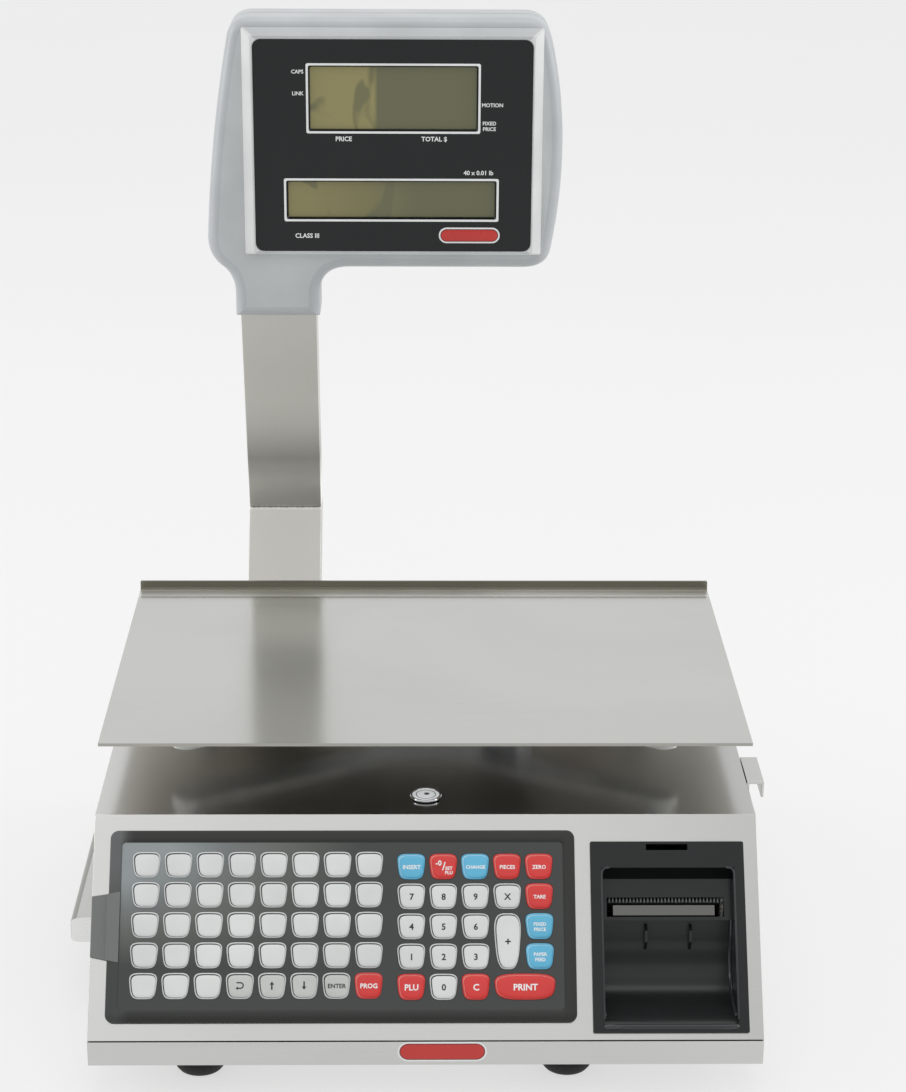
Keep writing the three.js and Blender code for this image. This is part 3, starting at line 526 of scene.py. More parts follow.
def finish_node(name, look, edge, side_look=None):
    """Gives a CAD solid its finish: rounded edges, smooth curves and a procedural material."""
    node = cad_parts[name]
    mesh = node.data
    mesh.materials.clear()
    mesh.materials.append(look.material)
    if side_look:
        mesh.materials.append(side_look.material)
        for face in mesh.polygons:
            face.material_index = 1 if abs(face.normal.x) > 0.7 else 0
    attribute = mesh.attributes.get("custom_normal")
    if attribute:
        mesh.attributes.remove(attribute)
    mesh.polygons.foreach_set("use_smooth", [True] * len(mesh.polygons))
    weld = node.modifiers.new("weld", "WELD")
    weld.merge_threshold = SAME_POINT
    flat = node.modifiers.new("flat", "DECIMATE")
    flat.decimate_type = "DISSOLVE"
    flat.angle_limit = math.radians(1)
    flat.delimit = {"MATERIAL"}
    soften(node, edge)


# ---- carried-over solids ----

for node_name, *finish in (
    ("top_cover", cover_finish, 0.35, steel_side),
    ("base_tray", steel, 0.3, steel_side),
    ("platter", platter_steel, 0.35),
    ("side_grip", steel_side, 0.6),
    ("side_tab", steel_side, 0.3),
    ("display_pole", steel_upright, 0.5),
    ("pole_bracket", steel_side, 0.4),
    ("spider", aluminium, 0.5),
    ("load_cell", aluminium, 0.4),
    ("main_board", circuit_board, 0.2),
    ("power_supply", zinc_steel, 0.5),
    ("power_inlet", black_plastic, 0.4),
    ("power_switch_rocker", black_plastic, 0.4),
    ("keypad_circuit", circuit_board, 0.1),
    ("label_card", card_grey, 0.08),
    ("peel_plate", peel_steel, 0.2),
    ("drawer_fascia", black_plastic, 0.45),
    ("drawer_chassis", zinc_steel, 0.3),
    ("print_head", aluminium, 0.4),
    ("platen_roller", rubber, 0.3),
    ("platen_gear", gear_plastic, 0.12),
    ("feed_motor", zinc_steel, 0.5),
    ("motor_pinion", bright_steel, 0.12),
    ("label_roll", paper, 0.3),
    ("operator_lcd_module", lcd_glass, 0.3),
    ("customer_lcd_module", lcd_glass, 0.3),
):
    finish_node(node_name, *finish)


def face_of_platter(face):
    """The number of the material for one face of the platter: plate, front edge, underside or rear upstand; the
    underside and the upstand carry painted shade.
    """
    top = 176.2 * MM
    if face.center.z > top:
        return 3
    if face.normal.z < -0.7:
        return 2
    return 1 if abs(face.normal.z) < 0.3 else 0


def face_of_grip(face):
    """The grip's end faces the light, and its outer edge rolls away from it."""
    if face.normal.y < -0.45:
        return 1
    return 2 if face.normal.x < -0.3 else 0


HOOD = 85  # height on the panel above which the scoop's hood begins


def face_of_fascia(face):
    """The scoop is painted paler than the plate in front of it, as painted light, and its hood is painted in shade."""
    inverse = PANEL.inverted()
    middle = inverse @ face.center
    if middle.z >= -1.0:
        return 0
    downhill = (inverse.to_3x3() @ face.normal).normalized().y < -0.5
    return 2 if downhill and middle.y > HOOD else 1


for node_name, more_looks, choose in (
    ("platter", (platter_edge, platter_underside, shaded_upstand_steel), face_of_platter),
    ("side_grip", (grip_front, grip_edge), face_of_grip),
    ("drawer_fascia", (lit_scoop_black, shade_black, edge_highlight_black), face_of_fascia),
):
    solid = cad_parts[node_name].data
    for extra in more_looks:
        solid.materials.append(extra.material)
    for polygon in solid.polygons:
        polygon.material_index = choose(polygon)

# The scoop's rounded edges catch the light.
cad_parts["drawer_fascia"].modifiers["soft_edges"].material = 3


# ---- keypad ----

KEYPAD = {"left": -179.3, "right": 84.5, "low": 10.0, "high": 118.2, "border": 6.8}
KEY_HALF = (8.4, 7.3)
KEY_PITCH = {"x": 18.1, "v": 16.93}
KEY_FIRST = {"x": -8.4, "v": 97.5}
ITEM_PITCH = {"x": 18.03, "v": 17.05}
ITEM_FIRST = {"x": -158.5, "v": 98.7}
KEY_SIDES = 44
DOUBLE_KEY = 12.0  # half sizes above this belong to a double key
WIDE_KEY = 0.5  # added to the wide key's half width and to its middle
FILM_TOP = 2.4
LEGEND_FOOT = 3.67
LEGEND_TOP = 3.72


def key_outline(half_width, half_height):
    """A key seen from the front: bowed sides that close in towards its lower edge, rounder on a double key."""
    points = []
    corner = min(half_width, half_height)
    power, taper = (3.4, 0.3) if max(half_width, half_height) > DOUBLE_KEY else (4.0, 0.24)
    for i in range(KEY_SIDES):
        angle = 2 * math.pi * i / KEY_SIDES
        c, s = math.cos(angle), math.sin(angle)
        x = math.copysign(abs(c) ** (2 / power), c) * half_width
        y = math.copysign(abs(s) ** (2 / power), s) * half_height
        narrowing = taper * 0.5 * (1 - y / half_height) * corner / half_width
        points.append((x * (1 - narrowing), y))
    return points


# Each band of a key: how far its outline is drawn in, its height, its shift to the lower right, its material.
# Material 0 is the pillow, 1 the raised ridge and 2 the groove between them.
KEY_BANDS = (
    (0.0, 2.6, 0.0, 1), (0.12, 2.9, 0.0, 1), (0.4, 3.06, 0.0, 1), (0.7, 2.96, 0.05, 1), (0.78, 2.72, 0.16, 2),
    (1.04, 2.7, 0.3, 2), (1.12, 3.05, 0.34, 0), (1.2, 3.32, 0.34, 0), (1.6, 3.5, 0.34, 0), (2.3, 3.6, 0.34, 0),
    (3.6, 3.66, 0.34, 0), (5.2, 3.68, 0.34, 0),
)


def add_key(sketch, x, v, half_width, half_height, foot):
    """A key at a point of the panel: a pillow inside a groove and a raised ridge."""
    rings = [lifted(shift(key_outline(half_width, half_height), x, v), foot)]
    looks = [1]
    for inset, height, offset, look in KEY_BANDS:
        outline = key_outline(half_width - inset, half_height - inset)
        rings.append(lifted(shift(outline, x + offset, v - offset * 0.8), height))
        looks.append(look)
    sketch.skin(rings, looks=looks[1:] + [0])


def arrow(direction):
    """A plain arrow, 4.6 mm long: 1 is up and -1 down."""
    half = [(0.42, -2.3), (0.42, 0.5), (1.3, 0.5), (0, 2.3)]
    points = half + [(-x, y) for x, y in reversed(half[:-1])]
    return [(x * direction, y * direction) for x, y in points]


def return_arrow():
    """An arrow that bends back on itself, pointing left."""
    outer = [(0.5 + 1.9 * math.cos(a), 0.1 + 1.9 * math.sin(a)) for a in (math.pi * (k / 8 - 0.5) for k in range(9))]
    inner = [(0.5 + 1.2 * math.cos(a), 0.1 + 1.2 * math.sin(a)) for a in (math.pi * (0.5 - k / 8) for k in range(9))]
    return outer + [(-1.8, 2.0), (-1.8, 1.3)] + inner + [(-0.9, -1.1), (-0.9, -0.5), (-2.3, -1.45), (-0.9, -2.4),
                                                         (-0.9, -1.8)]


WHITE, RED, BLUE, GREY = 0, 1, 2, 3
KEY_LOOKS = (
    ((key_white, key_ridge, key_groove, ink_dark), "key_white"),
    ((key_red, key_red, key_red_ring, ink_white), "key_red"),
    ((key_blue, key_blue, key_blue_ring, ink_white), "key_blue"),
    ((key_grey, key_ridge, key_groove, ink_dark), "key_white"),
)

# Name, column, row, colour, legend and letter size. A row of 2.5 and a column of 3.5 are the double keys.
FUNCTION_KEYS = (
    ("insert", 0, 0, BLUE, "INSERT", 3.2), ("minus", 1, 0, RED, "", 0), ("change", 2, 0, BLUE, "CHANGE", 2.7),
    ("pieces", 3, 0, RED, "PIECES", 3.0), ("zero", 4, 0, RED, "ZERO", 3.0),
    ("7", 0, 1, WHITE, "7", 5.0), ("8", 1, 1, WHITE, "8", 5.0), ("9", 2, 1, WHITE, "9", 5.0),
    ("times", 3, 1, WHITE, "X", 5.0), ("tare", 4, 1, RED, "TARE", 2.9),
    ("4", 0, 2, WHITE, "4", 5.0), ("5", 1, 2, WHITE, "5", 5.0), ("6", 2, 2, WHITE, "6", 5.0),
    ("fixed_price", 4, 2, BLUE, "FIXED\nPRICE", 2.7), ("plus", 3, 2.5, WHITE, "+", 6.0),
    ("1", 0, 3, WHITE, "1", 5.0), ("2", 1, 3, WHITE, "2", 5.0), ("3", 2, 3, WHITE, "3", 5.0),
    ("paper_feed", 4, 3, BLUE, "PAPER\nFEED", 2.7),
    ("plu", 0, 4, RED, "PLU", 4.7), ("digit_0", 1, 4, WHITE, "0", 5.0), ("clear", 2, 4, RED, "C", 5.0),
    ("print", 3.5, 4, RED, "PRINT", 5.0),
)


def key_size(column, row):
    """Half sizes of a function key; a key between two rows or columns covers both."""
    wide = KEY_PITCH["x"] / 2 + WIDE_KEY if column % 1 else 0
    tall = KEY_PITCH["v"] / 2 if row % 1 else 0
    return KEY_HALF[0] + wide, KEY_HALF[1] + tall


def key_middle(column, row):
    wide_shift = WIDE_KEY if column % 1 else 0
    return KEY_FIRST["x"] + column * KEY_PITCH["x"] + wide_shift, KEY_FIRST["v"] - row * KEY_PITCH["v"]


def function_key(name, column, row, color, legend, size):
    sketch = Sketch()
    x, v = key_middle(column, row)
    add_key(sketch, x, v, *key_size(column, row), 1.45)
    if legend:
        sketch.letters(legend, size, x + 0.2, v - 0.6, LEGEND_TOP, 3, weight=0.026)
    else:
        sketch.letters("-0", 4.2, x - 2.6, v + 1.7, LEGEND_TOP, 3, weight=0.03)
        sketch.letters("/", 6.4, x + 0.4, v - 0.2, LEGEND_TOP, 3)
        sketch.letters("SET\nPLU", 2.6, x + 3.2, v - 2.5, LEGEND_TOP, 3, weight=0.03, spacing=0.95)
    looks, slot = KEY_LOOKS[color]
    sketch.build("cap_" + name, "key_" + name, looks, slot, PANEL, stands_for=["key_" + name])


ITEM_COLUMNS, ITEM_ROWS = 8, 5
# What the last row carries, by column: outlines of arrows, and words with their size and weight.
ENTRY_ARROWS = {3: return_arrow(), 4: arrow(1), 5: arrow(-1)}
ENTRY_WORDS = {6: ("ENTER", 3.4, 0.024), 7: ("PROG", 3.7, 0.028)}


def item_keys():
    """The embossed item keys of the film, with the entry keys in their last row."""
    white, grey, red = Sketch(), Sketch(), Sketch()
    for column in range(ITEM_COLUMNS):
        for row in range(ITEM_ROWS):
            x = ITEM_FIRST["x"] + column * ITEM_PITCH["x"]
            v = ITEM_FIRST["v"] - row * ITEM_PITCH["v"]
            last = row == ITEM_ROWS - 1
            sketch = white
            if last and column > 2:
                sketch = red if column == ITEM_COLUMNS - 1 else grey
            add_key(sketch, x, v, *KEY_HALF, FILM_TOP - 0.1)
            if last and column in ENTRY_ARROWS:
                points = shift(ENTRY_ARROWS[column], x, v)
                sketch.skin([lifted(points, LEGEND_FOOT), lifted(points, LEGEND_TOP)], 3)
            if last and column in ENTRY_WORDS:
                word, size, weight = ENTRY_WORDS[column]
                sketch.letters(word, size, x + 0.2, v - 0.4, LEGEND_TOP, 3, weight)
    white.build("item_keys", "housing", *KEY_LOOKS[WHITE], PANEL)
    grey.build("entry_keys", "housing", *KEY_LOOKS[GREY], PANEL)
    red.build("program_key", "housing", *KEY_LOOKS[RED], PANEL)


def keypad_bezel():
    border = KEYPAD["border"]

    def ring(inset, radius, height):
        return lifted(framed(KEYPAD, inset, radius, 8), height)

    sketch = Sketch()
    sketch.skin([
        ring(0, 4.6, 1.95), ring(0, 4.6, 2.7), ring(0.35, 4.3, 3.0), ring(border - 1.3, 3.0, 3.0),
        ring(border - 0.9, 2.8, 2.9), ring(border, 2.2, 2.45), ring(border, 2.2, 1.95),
    ], closed=True)
    sketch.skin([ring(0.5, 4.2, 0.3), ring(0.5, 4.2, 1.95)])
    sketch.build("keypad_bezel", "housing", [bezel_grey], "keypad_film", PANEL, 0.12, 50, ["keypad_overlay"])


def keypad_film():
    """The film inside the bezel, with a hole round each key that moves."""
    holes = []
    for _, column, row, *_ in FUNCTION_KEYS:
        half_width, half_height = key_size(column, row)
        holes.append(shift(key_outline(half_width + 0.2, half_height + 0.2), *key_middle(column, row)))
    sketch = Sketch()
    sketch.plate(framed(KEYPAD, KEYPAD["border"] + 0.05, 2.1, 8), holes, 1.96, FILM_TOP)
    sketch.build("keypad_film", "housing", [film_grey], "keypad_film", PANEL)


def label_tab():
    """The pull-tab of the list of items, lying over the left border of the keypad."""
    def station(x, low, high, base):
        return [Vector((x, v, z)) for v, z in ((low, base), (high, base), (high, base + 0.25), (low, base + 0.25))]

    sketch = Sketch()
    sketch.skin([station(-188.8, 46.9, 80.9, 1.5), station(-180.4, 45.1, 82.1, 1.75),
                 station(-179.7, 45.0, 82.2, 3.06), station(-172.9, 43.6, 83.4, 3.06)])
    sketch.build("label_tab", "label_card", [card_grey], "card", PANEL)


keypad_bezel()
keypad_film()
label_tab()
item_keys()
for key in FUNCTION_KEYS:
    function_key(*key)


# ---- printer scoop ----

SCOOP = {"left": 99.8, "right": 175.3, "high": 97.0, "floor": 43.6, "back": -160.0}


def bar(sketch, path, normal, radius, sides=10):
    """A round bar along a flat path, with domed ends; `normal` is square to the path's plane."""
    path = [Vector(p) for p in path]
    domes = ((0.9, 0.35), (0.5, 0.8))  # distance past the end and width, as shares of the radius
    rings = []
    for i, point in enumerate(path):
        along = (path[min(i + 1, len(path) - 1)] - path[max(i - 1, 0)]).normalized()
        across = Vector(normal).cross(along)
        turns = [2 * math.pi * k / sides for k in range(sides)]
        offsets = [Vector(normal) * math.cos(a) * radius + across * math.sin(a) * radius for a in turns]
        if i == 0:
            rings += [[point - along * radius * reach + o * width for o in offsets] for reach, width in domes]
        rings.append([point + o for o in offsets])
        if i == len(path) - 1:
            rings += [[point + along * radius * reach + o * width for o in offsets] for reach, width in domes[::-1]]
    sketch.skin(rings)


def scoop_edge():
    """The rolled edge round the scoop's mouth."""
    left, right, high = SCOOP["left"], SCOOP["right"], SCOOP["high"]
    corner = quadratic((left, high - 4), (left, high), (left + 4, high), 6)
    sketch = Sketch()
    for mirror in (False, True):
        path = [(left, 12.0), (left, high - 4)] + corner
        if mirror:
            path = [(left + right - x, v) for x, v in path]
        bar(sketch, [(x, v, 1.3) for x, v in path], (0, 0, 1), 0.75)
    bar(sketch, [(left + 1.4 + (right - left - 2.8) * k / 8, 7.5, 1.4) for k in range(9)], (0, 0, 1), 1.7)
    sketch.build("scoop_edge", "drawer", [edge_highlight_black], "black_plastic", PANEL)


def scoop_cheeks():
    """The rounded corner between each side wall of the scoop and its curved back."""
    floor_level, back = SCOOP["floor"], SCOOP["back"]
    arc = [(back - 26 + 25.4 * math.sin(a), floor_level + 26 - 25.4 * math.cos(a))
           for a in (math.radians(90 * k / 12) for k in range(13))]
    path = [(FRONT + 12, floor_level + 0.6), *arc, (back - 0.6, 84.0)]
    sketch = Sketch()
    for x in (SCOOP["left"] + 0.7, SCOOP["right"] - 0.7):
        bar(sketch, [(x, y, z) for y, z in path], (1, 0, 0), 1.2)
    sketch.build("scoop_cheeks", "drawer", [edge_highlight_black], "black_plastic")


def tear_teeth():
    """The row of teeth that a label is torn off against."""
    left, right, teeth = 103.5, 169.5, 33
    pitch = (right - left) / teeth
    sketch = Sketch()
    strip = [(left, 77.9), (right, 77.9), (right, 79.0), (left, 79.0)]
    sketch.skin([lifted(strip, -9.2), lifted(strip, -8.1)])
    for i in range(teeth):
        x = left + (i + 0.5) * pitch
        foot = [(x - 0.82, 78.3), (x + 0.82, 78.3), (x + 0.3, 80.85), (x - 0.3, 80.85)]
        tip = [(x - 0.3, 78.6), (x + 0.3, 78.6), (x + 0.12, 80.6), (x - 0.12, 80.6)]
        # The teeth are painted grey as highlights on their tips.
        sketch.skin([lifted(foot, -9.1), lifted(foot, -8.1), lifted(tip, -7.3)], 1)
    sketch.build("tear_teeth", "drawer", [shade_black, tooth_highlight_grey], "bright_steel", PANEL, stands_for=["tear_bar"])


scoop_edge()
scoop_cheeks()
tear_teeth()


# ---- display head ----

FACE = {"left": -106.4, "right": 66.2, "low": 404.9, "high": 537.2, "corner": 5.0}
SURROUND = {"left": -113.6, "right": 73.1, "low": 401.6, "high": 544.0}
UPPER_WINDOW = {"left": -73.9, "right": 34.1, "low": 479.3, "high": 522.7}
LOWER_WINDOW = {"left": -88.4, "right": 46.0, "low": 423.7, "high": 451.0}
OUTLINE_WIDTH = 1.4
HEAD_HALF = 24.0
HEAD_EDGE = (7.0, 8.0)  # inset and depth of the rounded edge


def head_outline():
    """The head seen by the operator, counter-clockwise from the foot of its neck."""
    points = [(-67.2, 360.0), (-67.2, 374.0)]
    for control, end in (
        ((-67.2, 392.0), (-48.0, 392.0)), (None, (62.0, 392.0)), ((78.0, 392.0), (80.0, 405.0)),
        ((93.0, 474.0), (78.5, 536.0)), ((75.5, 549.4), (62.0, 549.4)), (None, (-108.0, 549.4)),
        ((-121.0, 549.4), (-123.0, 537.0)), ((-134.7, 474.0), (-137.6, 412.0)), ((-138.0, 400.0), (-129.5, 393.0)),
        ((-120.8, 387.0), (-120.8, 374.0)), (None, (-120.8, 360.0)),
    ):
        points += quadratic(points[-1], control, end) if control else [end]
    return points


def facing(outline, side):
    """An outline drawn in working X and Z, seen by the reader on that side."""
    local = [(-side * (x - FACE_MIDDLE), z) for x, z in outline]
    return local if side < 0 else list(reversed(local))


def head_shell(name, side):
    """One half of the head: seam, rounded edge, face, raised surround and the pocket of the faceplate."""
    outline = facing(head_outline(), side)
    inset, depth = HEAD_EDGE
    rings = [lifted(shrunk(outline, 0.6), 0.12), lifted(shrunk(outline, 0.6), 0.5), lifted(outline, 1.0)]
    steps = 7
    for i in range(steps + 1):
        angle = math.radians(90 * i / steps)
        rings.append(lifted(shrunk(outline, inset * (1 - math.cos(angle))),
                            HEAD_HALF - depth + depth * math.sin(angle)))
    sketch = Sketch()
    sketch.skin(rings, look=1, end=False)

    def frame_ring(x_in, low_in, high_in, radius):
        corners = rounded(SURROUND["left"] + x_in, SURROUND["right"] - x_in, SURROUND["low"] + low_in,
                          SURROUND["high"] - high_in, radius)
        return facing(corners, side)

    def face_ring(grow, radius):
        return facing(framed(FACE, -grow, radius), side)

    foot = frame_ring(0, 0, 0, 1.2)
    sketch.sheet(shrunk(outline, inset), [foot], HEAD_HALF)
    sketch.skin([
        lifted(foot, HEAD_HALF), lifted(frame_ring(4.9, 1.1, 4.0, 1.6), HEAD_HALF + 4.4),
        lifted(frame_ring(5.5, 1.6, 4.6, 2.2), HEAD_HALF + 4.9), lifted(face_ring(0.9, 5.7), HEAD_HALF + 4.9),
        lifted(face_ring(0.3, 5.2), HEAD_HALF + 4.4), lifted(face_ring(0.3, 5.2), HEAD_HALF - 4.4),
    ], looks=[3, 3, 2, 0, 0, 0], start=False)
    piece = sketch.build(name, "housing", [grey_plastic, rim_plastic, lit_underside_plastic, lit_side_plastic], "grey_plastic",
                         display_frame(side), 0.3, 34, ["display_front_shell" if side < 0 else "display_rear_shell"])
    for face in piece.data.polygons:
        if face.material_index > 1:
            face.material_index = face_of_surround(face)


def face_of_surround(face):
    """The number of the material for a face of the surround: its sides are palest and the faces that look down are
    paler, both painted light, and its top is the housing's.
    """
    at_side = abs(working(face.center).x - FACE_MIDDLE) > (FACE["right"] - FACE["left"]) / 2 - 0.5
    if abs(face.normal.x) > 0.3 or at_side:
        return 3
    return 2 if face.normal.z < -0.2 else 0


def window_outline(window, side, inset=0.0):
    return facing(framed(window, inset, 1.2, 5), side)


def faceplate(name, node, side):
    """A faceplate with two windows, each with a bevelled edge."""
    windows = (UPPER_WINDOW, LOWER_WINDOW)
    holes = [window_outline(w, side, OUTLINE_WIDTH) for w in windows]
    sketch = Sketch()
    sketch.plate(facing(framed(FACE, 0, FACE["corner"]), side), holes, FACE_OUT - 2, FACE_OUT)
    for hole, window in zip(holes, windows):
        deep = window_outline(window, side, OUTLINE_WIDTH + 1.0)
        sketch.skin([lifted(hole, FACE_OUT - 0.3), lifted(deep, FACE_OUT - 1.8), lifted(hole, FACE_OUT - 1.9)],
                    closed=True)
    sketch.build(name, "housing", [face_black], "face_black", display_frame(side), stands_for=[node])


# Text, letter size, and the working X and Z of its middle as the operator reads it.
DISPLAY_LABELS = (
    ("CAPS", 3.3, -79.1, 517.4), ("LINK", 3.3, -79.0, 504.0), ("MOTION", 3.3, 41.5, 497.0),
    ("FIXED\nPRICE", 3.2, 39.7, 483.9), ("PRICE", 4.0, -50.8, 475.8), ("TOTAL $", 4.0, 5.5, 475.8),
    ("40 x 0.01 lb", 3.9, 33.2, 454.6), ("CLASS III", 4.0, -74.2, 414.4),
)


def display_print(name, side):
    """The white print of a faceplate: window outlines and labels."""
    sketch = Sketch()
    for window in (UPPER_WINDOW, LOWER_WINDOW):
        sketch.plate(window_outline(window, side), [window_outline(window, side, OUTLINE_WIDTH - 0.05)],
                     FACE_OUT - 0.05, FACE_OUT + 0.08)
    for text, size, x, z in DISPLAY_LABELS:
        sketch.letters(text, size, x - FACE_MIDDLE, z, FACE_OUT + 0.06, 0, 0.022)
    sketch.build(name, "housing", [ink_white], "face_black", display_frame(side))


def badge(name, matrix, middle, half_width, half_height, base, rise=1.0):
    """A plain pill-shaped badge with a bright rim and no lettering."""
    x, y = middle

    def ring(inset, height):
        width, tall = half_width - inset, half_height - inset
        return lifted(rounded(x - width, x + width, y - tall, y + tall, tall, 10), base + height * rise)

    sketch = Sketch()
    sketch.skin([ring(0, 0), ring(0, 0.4), ring(0.2, 0.6), ring(0.8, 0.6), ring(1.0, 0.42), ring(1.15, 0.42),
                 ring(1.5, 0.62), ring(half_height * 0.45, 0.8), ring(half_height * 0.75, 0.86)],
                looks=[1, 1, 1, 1, 2, 2, 0, 0, 0])
    sketch.build(name, "housing", [badge_red, ink_white, badge_shade], "key_red", matrix)


for reader, reader_side, shell in (("operator", -1, "front"), ("customer", 1, "rear")):
    head_shell("display_" + shell + "_case", reader_side)
    faceplate(reader + "_face", reader + "_faceplate", reader_side)
    display_print(reader + "_print", reader_side)
    badge(reader + "_badge", display_frame(reader_side), (27.75 - FACE_MIDDLE, 415.0), 19.2, 5.0, FACE_OUT)

badge("lip_badge", axes((9.0, FRONT, 28.4), (1, 0, 0), (0, 0, 1)), (0, 0), 25.0, 6.2, 0.2, 0.3)


# ---- small fittings ----


THREAD_PITCH = 0.7
POLE = {"middle": -94.2, "half": 22.6, "bolts": 26.6}
POST_X, POST_Y = 141.0, 77.0  # of the spider's four posts


def turned(sketch, profile, sides, middle, looks=None, look=0):
    """A body of revolution about Z, from pairs of radius and height."""
    sketch.skin([circle(r, h, sides, middle) for r, h in profile], look, looks)


def levelling_foot(node):
    """A rubber pad on a threaded stud."""
    low, high = (working(corner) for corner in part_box(node))
    middle = ((low.x + high.x) / 2, (low.y + high.y) / 2)
    sketch = Sketch()
    turned(sketch, [(9.5, 0), (10.6, 0.2), (12.8, 1.1), (14.2, 3.0), (14.9, 5.4), (14.9, 7.6), (14.4, 8.1),
                    (14.4, 8.7), (14.9, 9.2), (14.9, 15.4), (14.5, 17.4), (13.4, 18.3), (4.2, 18.4)], 48, middle)
    threads = [(4.0, 18.3)]
    height = 18.5
    while height < high.z - 0.6:
        threads += [(4.0, height), (3.5, height + THREAD_PITCH / 2)]
        height += THREAD_PITCH
    turned(sketch, threads + [(3.2, high.z)], 24, middle, look=1)
    sketch.build(node + "_pad", node, [rubber, zinc_steel], "rubber", PLACE, 0.2, 60, [node])


for foot_node in ("foot_front_left", "foot_front_right", "foot_rear_left", "foot_rear_right"):
    levelling_foot(foot_node)


def spirit_level():
    """The round level in the deck: a flange, a ringed glass and its bubble."""
    low, high = (working(corner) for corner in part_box("level_vial"))
    middle = ((low.x + high.x) / 2, (low.y + high.y) / 2)
    base, top = DECK + 0.05, high.z - 1.2
    sketch = Sketch()
    turned(sketch, [(6.6, base), (6.6, top - 1.5), (8.6, top - 1.5), (9.2, top - 1.1), (9.2, top - 0.5),
                    (8.9, top - 0.1), (8.4, top), (7.9, top - 0.2), (7.6, top - 0.7)],
           56, middle, looks=[2, 2, 1, 1, 1, 1, 1, 1])
    turned(sketch, [(7.6, top - 1.3), (7.6, top - 0.6), (6.0, top - 0.4), (4.0, top - 0.28), (2.0, top - 0.2)],
           56, middle)
    for radius in (3.2, 5.6):
        wide, crest = radius + 0.22, top - 0.14 - radius * 0.04
        turned(sketch, [(radius, top - 0.7), (wide, top - 0.7), (wide, crest), (radius, crest)], 40, middle, look=2)
    turned(sketch, [(1.6, top - 0.4), (1.55, top - 0.12), (1.1, top - 0.04), (0.5, top)], 24,
           (middle[0] + 0.5, middle[1] + 0.4), look=3)
    sketch.build("spirit_level", "housing", [glowing_vial_glass, bright_steel, ink_dark, card_grey], "vial",
                 stands_for=["level_vial"])


spirit_level()


def add_screw(sketch, matrix, radius):
    """A pan-head screw with a cross recess, standing on the frame's origin along its Z."""
    inverse = PLACE.inverted() @ matrix
    part = Sketch()
    sides = 28
    rim = [(radius, 0.0), (radius, radius * 0.28), (radius * 0.86, radius * 0.48), (radius * 0.66, radius * 0.58)]
    part.skin([circle(r, h, sides) for r, h in rim], end=False)
    wide, narrow = radius * 0.52, radius * 0.13
    cross = [(wide, -narrow), (wide, narrow), (narrow, narrow), (narrow, wide), (-narrow, wide), (-narrow, narrow),
             (-wide, narrow), (-wide, -narrow), (-narrow, -narrow), (-narrow, -wide), (narrow, -wide),
             (narrow, -narrow)]
    top = radius * 0.58
    part.sheet([(p.x, p.y) for p in circle(radius * 0.66, 0, sides)], [cross], top)
    part.skin([lifted(cross, top), lifted(cross, top - radius * 0.4)], start=False)
    sketch.add([inverse @ p for p in part.points], part.faces)


def screws(name, body, places, radius=3.0):
    """One piece with several screws, each given by its point and the way it faces."""
    sketch = Sketch()
    for point, outward in places:
        outward = Vector(outward)
        across = Vector((0, 0, 1)) if abs(outward.z) < 0.5 else Vector((1, 0, 0))
        side = across.cross(outward)
        add_screw(sketch, axes(point, side, outward.cross(side)), radius)
    sketch.build(name, body, [bright_steel], "bright_steel")


screws("cover_screws", "housing", [
    ((side * SIDE, y, 46.0), (side, 0, 0)) for side in (-1, 1) for y in (-115.0, 105.0) if side > 0 or y > 0
] + [((x, BACK, 46.0), (0, 1, 0)) for x in (-170.0, 172.0)])
screws("tab_screws", "housing", [((SIDE + 1.8, y, 119.0), (1, 0, 0)) for y in (-87.0, -67.0)], 2.6)
screws("bracket_screws", "housing", [
    ((x, y, 140.3), (0, 0, 1)) for x in (-125.6, -62.8) for y in (120.0, 153.0)])
screws("pole_bolts", "housing", [
    ((POLE["middle"] + side * POLE["bolts"], y, z), (side, 0, 0))
    for side in (-1, 1) for y, z in ((137.0, 148.0), (152.0, 154.0))], 2.6)
screws("inlet_screws", "housing", [((x, BACK + 2.3, 63.0), (0, 1, 0)) for x in (95.6, 150.2)], 2.0)
screws("tray_screws", "housing", [
    ((x, y, LIP_LOW), (0, 0, -1)) for x, y in ((-58, -8), (-58, 8), (-42, -8), (-42, 8), (110, -60), (165, -60))], 3.0)
screws("hub_screws", "spider", [
    ((x, y, 161.0), (0, 0, 1)) for x in (41.0, 59.0) for y in (-9.0, 9.0)], 3.2)


def platter_fold():
    """The swept inner radius where the platter's rear edge is folded up."""
    back = working(platter_box[1]).y - 1.45
    left, right = working(platter_box[0]).x + 0.6, working(platter_box[1]).x - 0.6
    profile = [(back - 13.0, 175.6), (back - 13.0, 176.03), (back - 9.0, 176.12), (back - 6.0, 176.3),
               (back - 4.0, 176.5), (back - 2.4, 176.8), (back - 1.2, 177.15), (back, 177.6), (back, 175.6)]
    sketch = Sketch()
    sketch.skin([[Vector((x, y, z)) for y, z in profile] for x in (left, right)])
    piece = sketch.build("platter_fold", "platter", [fold_highlight_steel, platter_steel], "platter_steel")
    # The curved faces get the paler fold steel: a painted highlight along the bend.
    for face in piece.data.polygons:
        face.material_index = 1 if face.normal.z < 0.98 else 0


platter_fold()


def spider_pads():
    """Soft caps on the four posts that carry the platter."""
    sketch = Sketch()
    for x in (-POST_X, POST_X):
        for y in (-POST_Y, POST_Y):
            turned(sketch, [(9.0, 169.6), (9.6, 170.0), (9.7, 171.6), (9.4, 173.0), (8.2, 173.9), (6.0, 174.15),
                            (2.0, 174.18)], 36, (x, y))
            turned(sketch, [(8.6, 155.2), (9.3, 155.6), (9.5, 157.0), (9.5, 159.8), (9.0, 160.6), (8.6, 160.8)],
                   36, (x, y))
    sketch.build("spider_pads", "spider", [white_pad], "gear_plastic")


spider_pads()


